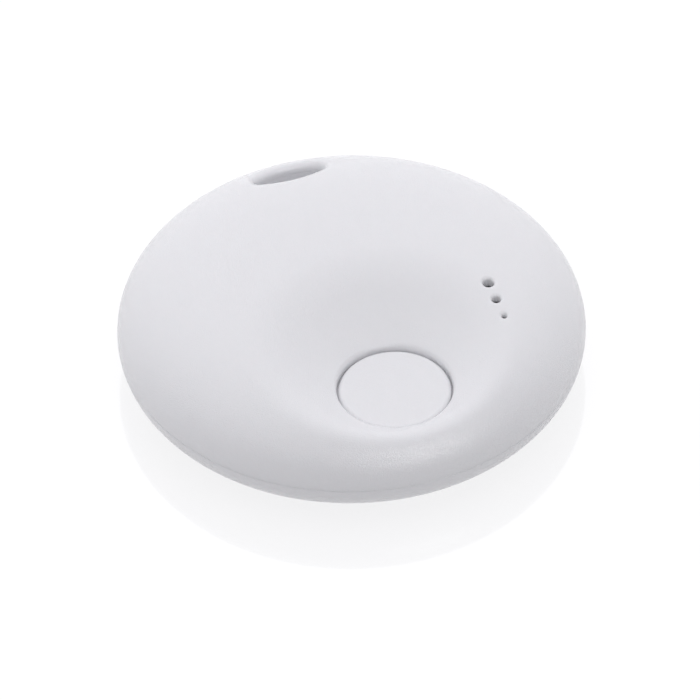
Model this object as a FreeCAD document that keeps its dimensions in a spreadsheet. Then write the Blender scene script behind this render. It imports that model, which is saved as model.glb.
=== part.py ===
import FreeCAD, Part
import math
import os
import re

import Sketcher

Vector = FreeCAD.Vector
Rotation = FreeCAD.Rotation

# A round bluetooth tracker tag, in millimetres.
# The origin is the centre of the flat underside, +Z is up, and +Y runs from the push button
# to the lanyard slot.

DRIVING_SIZES = [
    # the outer form
    ("body_radius", 20.0),
    ("seam_height", 3.8),
    ("crown_height", 6.0),
    ("crown_power", 3.8),
    ("base_round", 4.8),
    ("side_wall", 1.15),
    ("crown_wall", 1.0),
    ("floor_wall", 1.2),
    # the joint between the two shells
    ("lip_drop", 0.8),
    ("lip_wall", 0.7),
    ("lip_gap", 0.3),
    ("lip_root", 0.8),
    # the push button and the dish round it
    ("button_inset", 9.0),
    ("button_radius", 4.8),
    ("button_top", 6.5),
    ("button_face", 0.6),
    ("button_edge_round", 0.4),
    ("button_gap", 0.15),
    ("flange_overhang", 0.8),
    ("flange_thickness", 0.4),
    ("flange_gap", 0.05),
    ("flange_side_gap", 0.25),
    ("seat_width", 0.8),
    ("seat_height", 0.5),
    ("dish_rise", 0.35),
    ("dish_slope", 22.0),
    ("dish_blend", 1.0),
    ("opening_chamfer", 0.2),
    ("pad_thickness", 0.15),
    ("pad_margin", 0.2),
    ("nub_radius", 1.2),
    # the snap dome under the button
    ("dome_radius", 3.0),
    ("dome_height", 0.27),
    ("dome_sheet", 0.07),
    ("dome_gap", 0.02),
    # the lanyard slot
    ("slot_rim", 2.8),
    ("slot_length", 6.3),
    ("slot_width", 2.6),
    ("tube_wall", 0.8),
    ("tube_side_gap", 0.05),
    ("tube_joint_depth", 1.05),
    ("tube_joint_gap", 0.03),
    ("tube_joint_slope", 21.8),
    # the sound holes
    ("sound_inset", 9.1),
    ("sound_first", 4.2),
    ("sound_pitch", 1.95),
    ("sound_radius_large", 0.55),
    ("sound_radius_middle", 0.45),
    ("sound_radius_small", 0.3),
    ("sound_roof_wall", 1.3),
    ("sound_recess_radius", 1.1),
    ("sound_boss_radius", 1.9),
    ("sound_boss_depth", 2.2),
    ("mesh_radius", 1.7),
    ("mesh_thickness", 0.1),
    # the coin cell
    ("cell_radius", 10.0),
    ("cell_height", 3.2),
    ("cell_gap", 0.3),
    ("cell_lift", 0.05),
    ("cell_cap_radius", 8.9),
    ("cell_sheet", 0.25),
    ("cell_step", 0.35),
    ("cell_gasket_width", 0.35),
    # the battery door and its bayonet
    ("door_thickness", 0.9),
    ("door_overlap", 1.65),
    ("door_gap", 0.1),
    ("skirt_wall", 0.65),
    ("skirt_gap", 0.1),
    ("skirt_height", 1.3),
    ("ledge_thickness", 0.6),
    ("lug_reach", 1.0),
    ("lug_gap", 0.05),
    ("lug_side_gap", 0.15),
    ("lug_angle", 22.0),
    ("entry_angle", 27.0),
    ("twist_angle", 30.0),
    ("pocket_gap", 0.1),
    ("well_wall", 0.85),
    ("well_bore_gap", 0.05),
    ("shoulder_wall", 0.6),
    ("block_wall", 0.9),
    ("coin_slot_length", 11.0),
    ("coin_slot_width", 1.5),
    ("coin_slot_depth", 0.45),
    ("door_edge_round", 0.15),
    ("seal_depth", 0.4),
    ("seal_width", 0.7),
    ("seal_inset", 0.35),
    ("seal_gap", 0.02),
    ("mark_radius", 0.4),
    ("mark_depth", 0.15),
    # the circuit board and what it carries
    ("board_gap", 0.65),
    ("board_lift", 0.2),
    ("board_thickness", 0.6),
    ("board_tube_gap", 0.3),
    ("post_inset", 1.8),
    ("post_radius", 1.3),
    ("screw_radius", 0.5),
    ("screw_length", 2.6),
    ("screw_fit", 0.03),
    ("screw_clearance", 0.2),
    ("screw_head_radius", 1.05),
    ("screw_head_height", 0.5),
    ("screw_recess_depth", 0.3),
    ("screw_recess_length", 1.1),
    ("screw_recess_width", 0.3),
    ("buzzer_radius", 3.5),
    ("buzzer_height", 1.9),
    ("buzzer_wall", 0.3),
    ("buzzer_port_radius", 0.8),
    ("diaphragm_thickness", 0.08),
    ("diaphragm_drop", 0.35),
    ("coil_radius", 1.9),
    ("coil_height", 0.9),
    ("core_radius", 0.6),
    ("contact_sheet", 0.12),
    ("contact_width", 2.4),
    ("contact_length", 8.0),
    ("touch_gap", 0.01),
    ("side_contact_sheet", 0.15),
    ("side_contact_width", 3.0),
    ("side_contact_foot", 2.2),
    ("side_contact_gap", 0.25),
    ("side_contact_room", 0.6),
    ("side_contact_inset", 0.3),
    ("side_contact_lift", 0.05),
    ("buzzer_shift", 0.5),
]

SCREW_ANGLES = (32.0, 148.0, 237.0)
LUG_COUNT = 3

# A name, the centre from the board's own centre in X and Y, and the size in X, Y and Z.
SMALL_PARTS = {
    "radio_chip": [(-9.2, 1.6, 5.0, 5.0, 0.85)],
    "motion_sensor": [(-2.6, 4.6, 2.0, 2.0, 0.75)],
    "chip_antenna": [(-8.4, 12.2, 3.2, 1.6, 0.5)],
    "power_inductor": [(-4.2, 0.2, 2.0, 1.6, 1.0)],
    "crystals": [(-9.6, -3.0, 2.0, 1.6, 0.5), (-9.4, 6.4, 3.2, 1.5, 0.75)],
    "capacitors": [
        (-5.0, 3.4, 0.6, 1.0, 0.5),
        (-5.0, 5.0, 0.6, 1.0, 0.5),
        (-12.9, -1.6, 1.0, 0.6, 0.5),
        (-12.9, -2.9, 1.0, 0.6, 0.5),
        (-6.4, -2.8, 1.0, 0.6, 0.5),
        (-6.4, -4.0, 1.0, 0.6, 0.5),
        (4.8, 1.8, 1.6, 0.8, 0.8),
        (4.8, 3.4, 1.6, 0.8, 0.8),
        (4.8, 5.0, 1.6, 0.8, 0.8),
        (8.4, 1.2, 0.6, 1.0, 0.5),
    ],
}

# Heights, radii and places worked out from the driving sizes, each from those above it.
DERIVED_SIZES = [
    ("body_height", "seam_height + crown_height"),
    ("inner_radius", "body_radius - side_wall"),
    ("inner_crown", "crown_height - crown_wall"),
    ("base_flat", "body_radius - base_round"),
    ("lip_outer", "inner_radius - lip_gap"),
    ("lip_inner", "lip_outer - lip_wall"),
    ("button_y", "button_inset - body_radius"),
    ("opening_radius", "button_radius + button_gap"),
    ("opening_edge", "button_top + dish_rise"),
    ("flange_radius", "button_radius + flange_overhang"),
    ("flange_top", "button_top - button_face"),
    ("flange_bottom", "flange_top - flange_thickness"),
    ("seat_bottom", "flange_top + flange_gap"),
    ("pad_bottom", "flange_bottom - pad_thickness"),
    ("slot_y", "body_radius - slot_rim - slot_width / 2"),
    ("slot_surface", "seam_height + crown_height * sqrt(1 - (slot_y / body_radius) ^ crown_power)"),
    ("tube_joint", "slot_surface - tube_joint_depth"),
    ("sound_x", "body_radius - sound_inset"),
    ("sound_middle", "-sound_first - sound_pitch"),
    ("cell_bottom", "door_thickness + cell_lift"),
    ("cell_top", "cell_bottom + cell_height"),
    ("skirt_inner", "cell_radius + cell_gap"),
    ("skirt_outer", "skirt_inner + skirt_wall"),
    ("well_outer", "skirt_inner + well_wall"),
    ("door_radius", "skirt_outer + door_overlap"),
    ("door_recess", "door_radius + door_gap"),
    ("ledge_inner", "skirt_outer + skirt_gap"),
    ("lug_radius", "skirt_outer + lug_reach"),
    ("pocket_bottom", "door_thickness + ledge_thickness"),
    ("lug_bottom", "pocket_bottom + lug_gap"),
    ("skirt_top", "door_thickness + skirt_height"),
    ("pocket_radius", "lug_radius + lug_side_gap"),
    ("pocket_top", "skirt_top + pocket_gap"),
    ("block_radius", "pocket_radius + block_wall"),
    ("block_top", "pocket_top + shoulder_wall"),
    ("seal_outer", "door_radius - seal_inset"),
    ("seal_inner", "seal_outer - seal_width"),
    ("board_bottom", "cell_top + board_lift"),
    ("board_top", "board_bottom + board_thickness"),
    ("board_radius", "lip_inner - board_gap"),
    ("foot_bottom", "board_bottom - side_contact_sheet"),
    ("well_top", "foot_bottom - side_contact_lift"),
    ("post_circle", "board_radius - post_inset"),
    ("nub_bottom", "board_top + dome_height + dome_gap"),
    ("buzzer_x", "sound_x - buzzer_shift"),
    ("buzzer_top", "board_top + buzzer_height"),
    ("sound_boss_bottom", "body_height - sound_boss_depth"),
    ("sound_roof", "body_height - sound_roof_wall"),
    ("mesh_bottom", "sound_boss_bottom - mesh_thickness"),
]

doc = FreeCAD.newDocument("tracker_tag")

sheet = doc.addObject("Spreadsheet::Sheet", "size")
for row, (alias, number) in enumerate(DRIVING_SIZES, start=1):
    sheet.set("A%d" % row, alias)
    sheet.set("B%d" % row, str(number))
    sheet.setAlias("B%d" % row, alias)

derived = doc.addObject("App::VarSet", "place")
OWNERS = {alias: "size" for alias, number in DRIVING_SIZES}
OWNERS.update({name: "place" for name, formula in DERIVED_SIZES})


def linked(formula):
    """Returns a formula with each size's name led by the object that holds it."""
    def with_owner(match):
        word = match.group(0)
        return "%s.%s" % (OWNERS[word], word) if word in OWNERS else word
    return re.sub(r"[a-z][a-z_]*", with_owner, formula)


def bind(item, **formulas):
    """Binds properties of an item to formulas over the named sizes."""
    for name, formula in formulas.items():
        item.setExpression(name, linked(formula))
    return item


for name, formula in DERIVED_SIZES:
    derived.addProperty("App::PropertyFloat", name)
    bind(derived, **{name: formula})
doc.recompute()


def value(formula):
    """Returns a formula's present value in millimetres or degrees."""
    return float(derived.evalExpression(linked(formula)))


def move(item, x="0", y="0", z="0"):
    """Binds the place of an item's own origin."""
    for axis, formula in zip("xyz", (x, y, z)):
        item.setExpression("Placement.Base." + axis, linked(formula))
    return item


# Part primitives and booleans

def cylinder(name, radius, height, x="0", y="0", z="0"):
    item = doc.addObject("Part::Cylinder", name)
    bind(item, Radius=radius, Height=height)
    return move(item, x, y, z)


def box(name, length, width, height, x="0", y="0", z="0"):
    """Makes a box whose X and Y centre and underside are at the given place."""
    item = doc.addObject("Part::Box", name)
    bind(item, Length=length, Width=width, Height=height)
    return move(item, "%s - (%s) / 2" % (x, length), "%s - (%s) / 2" % (y, width), z)


def cut(name, base, tool):
    item = doc.addObject("Part::Cut", name)
    item.Base = base
    item.Tool = tool
    return item


def common(name, base, tool):
    item = doc.addObject("Part::Common", name)
    item.Base = base
    item.Tool = tool
    return item


def fuse(name, pieces):
    item = doc.addObject("Part::MultiFuse", name)
    item.Shapes = pieces
    return item


def group(name, pieces):
    """Makes one node of several solids that stay separate."""
    item = doc.addObject("Part::Compound", name)
    item.Links = pieces
    return item


def ring(name, outer, inner, height, x="0", y="0", z="0"):
    return cut(name, cylinder(name + "_outer", outer, height, x, y, z),
               cylinder(name + "_inner", inner, height, x, y, z))


def oval(name, length, width, height, x="0", y="0", z="0", along="x"):
    """Makes a prism with round ends, its long way along X or Y."""
    half = "((%s) - (%s)) / 2" % (length, width)
    shift = (half, "0") if along == "x" else ("0", half)
    sides = (half + " * 2", width) if along == "x" else (width, half + " * 2")
    ends = [cylinder("%s_end_%d" % (name, side), "(%s) / 2" % width, height,
                     "%s + %d * (%s)" % (x, side, shift[0]),
                     "%s + %d * (%s)" % (y, side, shift[1]), z)
            for side in (-1, 1)]
    return fuse(name, ends + [box(name + "_middle", sides[0], sides[1], height, x, y, z)])


# PartDesign bodies

def new_body(node, x="0", y="0", z="0"):
    body = doc.addObject("PartDesign::Body", node)
    return move(body, x, y, z)


def origin_part(body, role):
    return [item for item in body.Origin.OriginFeatures if item.Role == role][0]


def new_sketch(body, name, role="XY_Plane", offset="0"):
    sketch = body.newObject("Sketcher::SketchObject", name)
    sketch.AttachmentSupport = [(origin_part(body, role), "")]
    sketch.MapMode = "FlatFace"
    sketch.setExpression("AttachmentOffset.Base.z", linked(offset))
    return sketch


def pin_point(sketch, geometry, point, x, y):
    """Holds one point of a sketch at the given distances from the sketch's origin."""
    for kind, formula in (("DistanceX", x), ("DistanceY", y)):
        number = sketch.addConstraint(
            Sketcher.Constraint(kind, -1, 1, geometry, point, value(formula)))
        sketch.setExpression("Constraints[%d]" % number, linked(formula))


def circle(sketch, radius, x="0", y="0"):
    centre = Vector(value(x), value(y), 0)
    number = sketch.addGeometry(Part.Circle(centre, Vector(0, 0, 1), value(radius)))
    pin_point(sketch, number, 3, x, y)
    size = sketch.addConstraint(Sketcher.Constraint("Radius", number, value(radius)))
    sketch.setExpression("Constraints[%d]" % size, linked(radius))


def outline(sketch, points):
    """Draws a closed outline of straight lines through points given as formulas."""
    spots = [Vector(value(x), value(y), 0) for x, y in points]
    lines = [sketch.addGeometry(Part.LineSegment(spot, spots[(index + 1) % len(spots)]))
             for index, spot in enumerate(spots)]
    for index, line in enumerate(lines):
        following = lines[(index + 1) % len(lines)]
        sketch.addConstraint(Sketcher.Constraint("Coincident", line, 2, following, 1))
        pin_point(sketch, line, 1, *points[index])


def rectangle(sketch, left, right, low, high):
    outline(sketch, [(left, low), (right, low), (right, high), (left, high)])


def pad(body, name, sketch, length, centred=False):
    feature = body.newObject("PartDesign::Pad", name)
    feature.Profile = sketch
    feature.Midplane = centred
    bind(feature, Length=length)
    doc.recompute()
    return feature


def pocket(body, name, sketch, length, upward=False):
    """Cuts a sketch's outline away, and makes sure that it took material off."""
    before = body.Shape.Volume
    feature = body.newObject("PartDesign::Pocket", name)
    feature.Profile = sketch
    feature.Reversed = upward
    bind(feature, Length=length)
    doc.recompute()
    if body.Shape.Volume >= before:
        raise RuntimeError("%s cut nothing away" % name)
    return feature


def revolve(body, name, sketch, angle="360"):
    feature = body.newObject("PartDesign::Revolution", name)
    feature.Profile = sketch
    feature.ReferenceAxis = (sketch, ["V_Axis"])
    feature.Midplane = angle != "360"
    bind(feature, Angle=angle)
    doc.recompute()
    return feature


def turned_body(node, points, x="0", y="0", z="0"):
    """Makes a body turned about its own Z axis from points of radius and height."""
    body = new_body(node, x, y, z)
    sketch = new_sketch(body, node + "_profile", "XZ_Plane")
    outline(sketch, points)
    revolve(body, node + "_turning", sketch)
    return body


def ring_edges(shape, radius, height):
    """Returns the names of the round edges of one radius at one height."""
    names = []
    for index, edge in enumerate(shape.Edges, start=1):
        extent = edge.BoundBox
        flat = abs(extent.ZMax - height) < 1e-4 and abs(extent.ZMin - height) < 1e-4
        if flat and abs(extent.XLength / 2 - radius) < 1e-4:
            names.append("Edge%d" % index)
    return names


def round_edge(body, name, radius, height, size):
    """Rounds the edge that runs round a body at a radius and a height of its own frame."""
    base = body.Tip
    feature = body.newObject("PartDesign::Fillet", name)
    feature.Base = (base, ring_edges(base.Shape, value(radius), value(height)))
    bind(feature, Radius=size)
    doc.recompute()
    return feature


# The outer form: a superelliptic crown over an elliptic base, with a dish round the button.

def turned_solid(edges):
    """Turns a closed outline in the XZ plane into a solid about Z."""
    face = Part.Face(Part.Wire(Part.__sortEdges__(edges)))
    return face.revolve(Vector(0, 0, 0), Vector(0, 0, 1), 360)


def lines_through(points):
    spots = [Vector(x, 0, z) for x, z in points]
    return [Part.makeLine(first, second) for first, second in zip(spots, spots[1:])]


def base_solid(radius, flat_radius, bottom, top):
    """Returns the lower form, whose side is a quarter of an ellipse."""
    wide = radius - flat_radius
    tall = top - bottom
    steps = 24
    quarter = [Vector(flat_radius + wide * math.sin(math.pi / 2 * step / steps), 0,
                      top - tall * math.cos(math.pi / 2 * step / steps))
               for step in range(steps + 1)]
    curve = Part.BSplineCurve()
    curve.interpolate(Points=quarter, InitialTangent=Vector(1, 0, 0),
                      FinalTangent=Vector(0, 0, 1))
    straight = lines_through([(radius, top), (0, top), (0, bottom), (flat_radius, bottom)])
    return turned_solid([curve.toShape()] + straight)


def crown_height_at(distance, radius, height, power):
    """Returns the height of a crown above its foot at a distance from the Z axis."""
    return height * math.sqrt(max(0.0, 1 - (distance / radius) ** power))


def crown_solid(radius, height, power, foot, below):
    """Returns a turned crown that also reaches straight down below its foot."""
    steps = 40
    points = []
    for step in range(steps + 1):
        distance = radius * math.sin(math.pi / 2 * step / steps)
        points.append(Vector(distance, 0, foot + crown_height_at(distance, radius, height, power)))
    curve = Part.BSplineCurve()
    curve.interpolate(Points=points, InitialTangent=Vector(1, 0, 0),
                      FinalTangent=Vector(0, 0, -1))
    straight = lines_through([(radius, foot), (radius, foot - below), (0, foot - below),
                              (0, foot + height)])
    return turned_solid([curve.toShape()] + straight)


def smooth_lower(first, second, blend):
    """Returns the lower of two heights, rounded where they meet."""
    overlap = max(blend - abs(first - second), 0.0) / blend
    return min(first, second) - overlap * overlap * blend / 4


def dish_height_at(distance):
    """Returns the height of the dish's cone at a distance from the button's axis."""
    rise = math.tan(math.radians(value("dish_slope")))
    return value("opening_edge") + (distance - value("opening_radius")) * rise


def skin_solid():
    """Returns the solid under the top's outer surface.

    The surface runs in rings round the button's axis, from a small flat circle inside the
    button's opening out to the rim. The spacing of the rings follows a sine, so that they
    stand as evenly on the steep rim as on the flat of the crown. The last few rings turn
    under the rim, which keeps the surface upright where it meets the seam.
    """
    radius = value("body_radius")
    foot = value("seam_height")
    height = value("crown_height")
    power = value("crown_power")
    blend = value("dish_blend")
    button_y = value("button_y")
    start = value("opening_radius") - 1.0
    around = 64
    outward = 40
    turned_under = 3
    under_step = 0.27

    def reach(along, ring_radius):
        """Returns how far a ray from the button's axis runs to a circle round Z."""
        return -button_y * along.y + math.sqrt(ring_radius ** 2 - (button_y * along.x) ** 2)

    rays = [Vector(math.cos(2 * math.pi * turn / around), math.sin(2 * math.pi * turn / around), 0)
            for turn in range(around)]
    rings = []
    for step in range(outward + 1):
        share = math.sin(math.pi / 2 * step / outward)
        ring_points = []
        for along in rays:
            distance = start + (reach(along, radius) - start) * share
            spot = Vector(0, button_y, 0) + along * distance
            rise = crown_height_at(math.hypot(spot.x, spot.y), radius, height, power)
            spot.z = smooth_lower(foot + rise, dish_height_at(distance), blend)
            ring_points.append(spot)
        rings.append(ring_points)
    for step in range(1, turned_under + 1):
        drop = step * under_step
        ring_radius = radius * (1 - (drop / height) ** 2) ** (1 / power)
        rings.append([Vector(0, button_y, foot - drop) + along * reach(along, ring_radius)
                      for along in rays])

    around_knots = list(range(around + 1))
    ring_curves = []
    for ring_points in rings:
        curve = Part.BSplineCurve()
        curve.interpolate(Points=ring_points, PeriodicFlag=True, Parameters=around_knots)
        ring_curves.append(curve)
    rail_curves = []
    for poles in zip(*[curve.getPoles() for curve in ring_curves]):
        curve = Part.BSplineCurve()
        curve.interpolate(Points=list(poles), Parameters=list(range(len(rings))))
        rail_curves.append(curve)
    ring_curve = ring_curves[0]
    rail_curve = rail_curves[0]
    surface = Part.BSplineSurface()
    surface.buildFromPolesMultsKnots(
        [curve.getPoles() for curve in rail_curves],
        ring_curve.getMultiplicities(), rail_curve.getMultiplicities(),
        ring_curve.getKnots(), rail_curve.getKnots(),
        True, False, ring_curve.Degree, rail_curve.Degree)

    side = surface.toShape()
    ends = [Part.Face(Part.Wire(edge)) for edge in side.Edges
            if edge.BoundBox.ZLength < 1e-3 and edge.Length > 1.0]
    shell = Part.makeShell([side] + ends)
    shell.sewShape()
    solid = Part.makeSolid(shell)
    if solid.Volume < 0:
        solid.reverse()
    return solid


def formed(name, solid):
    """Keeps a solid made from formulas as an object of the document."""
    item = doc.addObject("Part::Feature", name)
    item.Shape = solid
    item.Placement = FreeCAD.Placement()
    return item


def slot_prism(name, margin, bottom, height):
    """Makes the lanyard slot's oval, larger all round by a margin."""
    return oval(name, "slot_length + 2 * (%s)" % margin, "slot_width + 2 * (%s)" % margin,
                height, "0", "slot_y", bottom)


def joint_block(name, lift):
    """Makes the space above the sloping joint in the lanyard slot's wall."""
    item = cylinder(name, "slot_length + 2 * tube_wall", "body_height")
    item.Placement = FreeCAD.Placement(
        Vector(), Rotation(Vector(-1, 0, 0), value("tube_joint_slope")))
    item.setExpression("Placement.Rotation.Angle", linked("tube_joint_slope * 1deg"))
    return move(item, "0", "slot_y", "tube_joint + %s" % lift)


def sound_oval(name, radius, bottom, height):
    """Makes an oval prism round the row of sound holes."""
    return oval(name, "2 * sound_pitch + 2 * (%s)" % radius, "2 * (%s)" % radius, height,
                "sound_x", "sound_middle", bottom, along="y")


def make_top_shell():
    skin = formed("top_skin", skin_solid())
    above = cylinder("top_above_seam", "body_radius + 1", "body_height", z="seam_height")
    outer = common("top_outer", skin, above)

    hollow_crown = formed("top_hollow_crown", crown_solid(
        value("inner_radius"), value("inner_crown"), value("crown_power"),
        value("seam_height"), 1.0))
    dish_rise_per_mm = "tan(dish_slope * 1deg)"
    dish_lining = doc.addObject("Part::Cone", "top_dish_lining")
    bind(dish_lining, Radius1="0", Radius2="body_height / %s" % dish_rise_per_mm,
         Height="body_height")
    move(dish_lining, "0", "button_y",
         "opening_edge - crown_wall - opening_radius * %s" % dish_rise_per_mm)
    hollow = cut("top_hollow", hollow_crown, dish_lining)
    flange_room = cylinder("top_flange_room", "flange_radius + flange_side_gap",
                           "seat_bottom - seam_height + 1", "0", "button_y", "seam_height - 1")
    walls = cut("top_walls", outer, fuse("top_inside", [hollow, flange_room]))

    seat = cylinder("top_seat", "flange_radius + seat_width", "seat_height",
                    "0", "button_y", "seat_bottom")
    lip = ring("top_lip", "lip_outer", "lip_inner", "lip_drop + lip_root",
               z="seam_height - lip_drop")
    lip_root = ring("top_lip_root", "inner_radius + 0.1", "lip_inner", "lip_root",
                    z="seam_height")
    collar = common("top_collar_trimmed",
                    common("top_collar", slot_prism("top_collar_oval", "tube_wall", "seam_height",
                                                    "crown_height"), outer),
                    joint_block("top_collar_joint", "tube_joint_gap / 2"))
    tube_room = cut("top_tube_room",
                    slot_prism("top_tube_room_oval", "tube_wall + tube_side_gap", "0",
                               "body_height"),
                    joint_block("top_tube_room_joint", "tube_joint_gap / 2"))
    sound_boss = common("top_sound_boss", sound_oval("top_sound_oval", "sound_boss_radius",
                                                     "sound_boss_bottom", "sound_boss_depth"),
                        outer)
    solid = fuse("top_solid", [walls, seat, lip, lip_root, collar, sound_boss])

    opening = cylinder("top_opening", "opening_radius", "body_height", "0", "button_y")
    chamfer = doc.addObject("Part::Cone", "top_opening_chamfer")
    bind(chamfer, Radius1="opening_radius", Radius2="opening_radius + 2 * opening_chamfer",
         Height="2 * opening_chamfer")
    move(chamfer, "0", "button_y", "opening_edge - opening_chamfer")
    slot = slot_prism("top_slot", "0", "0", "body_height + 1")
    sound_recess = sound_oval("top_sound_recess", "sound_recess_radius", "seam_height",
                              "sound_roof - seam_height")
    sound_holes = [cylinder("top_sound_hole_%d" % index, radius, "body_height",
                            "sound_x", "-sound_first - %d * sound_pitch" % index, "seam_height")
                   for index, radius in enumerate(
                       ("sound_radius_large", "sound_radius_middle", "sound_radius_small"))]
    under_boss = sound_oval("top_under_boss", "sound_boss_radius", "seam_height",
                            "sound_boss_bottom - seam_height")
    openings = fuse("top_openings", [opening, chamfer, slot, tube_room, sound_recess,
                                     under_boss] + sound_holes)
    return cut("top_shell", solid, openings)


def post_places():
    return [("post_circle * cos(%g * 1deg)" % angle, "post_circle * sin(%g * 1deg)" % angle)
            for angle in SCREW_ANGLES]


def make_bottom_shell():
    outer = formed("bottom_outer", base_solid(
        value("body_radius"), value("base_flat"), 0.0, value("seam_height")))
    inner = formed("bottom_inner", base_solid(
        value("inner_radius"), value("base_flat"), value("floor_wall"), value("seam_height")))
    walls = cut("bottom_walls", outer, inner)

    block = cylinder("bottom_block", "block_radius", "block_top - floor_wall / 2",
                     z="floor_wall / 2")
    well = cylinder("bottom_well", "well_outer", "well_top - floor_wall / 2", z="floor_wall / 2")
    tube_prism = slot_prism("bottom_tube_oval", "tube_wall", "floor_wall / 2",
                            "body_height - floor_wall / 2")
    above_seam = cylinder("bottom_above_seam", "body_radius", "crown_height", z="seam_height")
    tube = cut("bottom_tube",
               common("bottom_tube_trimmed", tube_prism,
                      fuse("bottom_tube_bounds", [outer, above_seam])),
               joint_block("bottom_tube_joint", "-tube_joint_gap / 2"))
    posts = [cylinder("bottom_post_%d" % index, "post_radius", "board_bottom - floor_wall / 2",
                      x, y, "floor_wall / 2")
             for index, (x, y) in enumerate(post_places())]
    solid = fuse("bottom_solid", [walls, block, well, tube] + posts)

    door_room = cylinder("bottom_door_room", "door_recess", "door_thickness")
    throat = cylinder("bottom_throat", "ledge_inner", "pocket_top")
    lug_pocket = cylinder("bottom_lug_pocket", "pocket_radius", "pocket_top - pocket_bottom",
                          z="pocket_bottom")
    bore = cylinder("bottom_bore", "skirt_inner + well_bore_gap", "body_height")
    entries = []
    for index in range(LUG_COUNT):
        entry = doc.addObject("Part::Cylinder", "bottom_lug_entry_%d" % index)
        bind(entry, Radius="pocket_radius", Height="pocket_top", Angle="entry_angle")
        start = "%d * 360 / %d - twist_angle - entry_angle / 2" % (index, LUG_COUNT)
        entry.Placement = FreeCAD.Placement(Vector(), Rotation(Vector(0, 0, 1), 1.0))
        entry.setExpression("Placement.Rotation.Angle",
                            "mod(%s + 360; 360) * 1deg" % linked(start))
        entries.append(entry)
    contact_notch = box("bottom_contact_notch", "side_contact_sheet + side_contact_gap + side_contact_room",
                        "side_contact_width + 2 * side_contact_gap", "body_height",
                        "cell_radius + (side_contact_sheet + side_contact_gap + side_contact_room) / 2"
                        " - side_contact_inset",
                        "0", "pocket_top")
    slot = slot_prism("bottom_slot", "0", "-1", "body_height + 1")
    screw_holes = [cylinder("bottom_screw_hole_%d" % index, "screw_radius + screw_fit",
                            "screw_length", x, y, "board_top - screw_length")
                   for index, (x, y) in enumerate(post_places())]
    marks = []
    for index, turn in enumerate(("0", "twist_angle")):
        angle = "(-90 - %s) * 1deg" % turn
        marks.append(cylinder("bottom_mark_%d" % index, "mark_radius", "mark_depth",
                              "(door_recess + 3 * mark_radius) * cos(%s)" % angle,
                              "(door_recess + 3 * mark_radius) * sin(%s)" % angle))
    openings = fuse("bottom_openings", [door_room, throat, lug_pocket, bore, contact_notch, slot]
                    + entries + screw_holes + marks)
    return cut("bottom_shell", solid, openings)


# The push button

def make_button_cap():
    body = turned_body("button_cap", [
        ("0", "flange_bottom"), ("flange_radius", "flange_bottom"),
        ("flange_radius", "flange_top"), ("button_radius", "flange_top"),
        ("button_radius", "button_top"), ("0", "button_top")], y="button_y")
    round_edge(body, "button_rounding", "button_radius", "button_top", "button_edge_round")
    return body


def make_button_pad():
    edge = "flange_radius - pad_margin"
    return turned_body("button_pad", [
        ("0", "nub_bottom"), ("nub_radius", "nub_bottom"), ("nub_radius", "pad_bottom"),
        (edge, "pad_bottom"), (edge, "flange_bottom"), ("0", "flange_bottom")], y="button_y")


def make_snap_dome():
    sphere_radius = "(dome_radius ^ 2 + dome_height ^ 2) / (2 * dome_height)"
    centre = "board_top + dome_height - (%s)" % sphere_radius
    outer = doc.addObject("Part::Sphere", "dome_outer")
    move(bind(outer, Radius=sphere_radius), "0", "button_y", centre)
    inner = doc.addObject("Part::Sphere", "dome_inner")
    move(bind(inner, Radius="%s - dome_sheet" % sphere_radius), "0", "button_y", centre)
    blank = cylinder("dome_blank", "dome_radius", "dome_height", "0", "button_y", "board_top")
    return common("snap_dome", blank, cut("dome_sheet_form", outer, inner))


# The battery, its door and its contacts

def make_battery_door():
    body = new_body("battery_door")
    disc = new_sketch(body, "door_disc")
    circle(disc, "door_radius")
    pad(body, "door_disc_pad", disc, "door_thickness")
    skirt = new_sketch(body, "door_skirt", offset="door_thickness")
    circle(skirt, "skirt_outer")
    circle(skirt, "skirt_inner")
    pad(body, "door_skirt_pad", skirt, "skirt_height")
    lug = new_sketch(body, "door_lug", "XZ_Plane")
    rectangle(lug, "skirt_inner + skirt_wall / 2", "lug_radius", "lug_bottom", "skirt_top")
    lug_turn = revolve(body, "door_lug_turn", lug, "lug_angle")
    pattern = body.newObject("PartDesign::PolarPattern", "door_lugs")
    pattern.Originals = [lug_turn]
    pattern.Axis = (origin_part(body, "Z_Axis"), [""])
    pattern.Angle = 360
    pattern.Occurrences = LUG_COUNT
    body.Tip = pattern
    doc.recompute()
    groove = new_sketch(body, "door_seal_groove", offset="door_thickness")
    circle(groove, "seal_outer")
    circle(groove, "seal_inner")
    pocket(body, "door_seal_pocket", groove, "seal_depth")
    coin = new_sketch(body, "door_coin_slot")
    rectangle(coin, "-coin_slot_length / 2", "coin_slot_length / 2",
              "-coin_slot_width / 2", "coin_slot_width / 2")
    pocket(body, "door_coin_pocket", coin, "coin_slot_depth", upward=True)
    mark = new_sketch(body, "door_mark")
    circle(mark, "mark_radius", "0", "-door_radius + 3 * mark_radius")
    pocket(body, "door_mark_pocket", mark, "mark_depth", upward=True)
    round_edge(body, "door_rounding", "door_radius", "0", "door_edge_round")
    return body


def make_door_seal():
    return turned_body("door_seal", [
        ("seal_inner", "door_thickness - seal_depth"),
        ("seal_outer", "door_thickness - seal_depth"),
        ("seal_outer", "door_thickness - seal_gap"),
        ("seal_inner", "door_thickness - seal_gap")])


def make_cell_can():
    rim = "cell_height - cell_step"
    return turned_body("cell_can", [
        ("0", "0"), ("cell_radius - cell_sheet", "0"), ("cell_radius", "cell_sheet"),
        ("cell_radius", rim), ("cell_radius - cell_sheet", rim),
        ("cell_radius - cell_sheet", "cell_sheet"), ("0", "cell_sheet")], z="cell_bottom")


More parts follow.
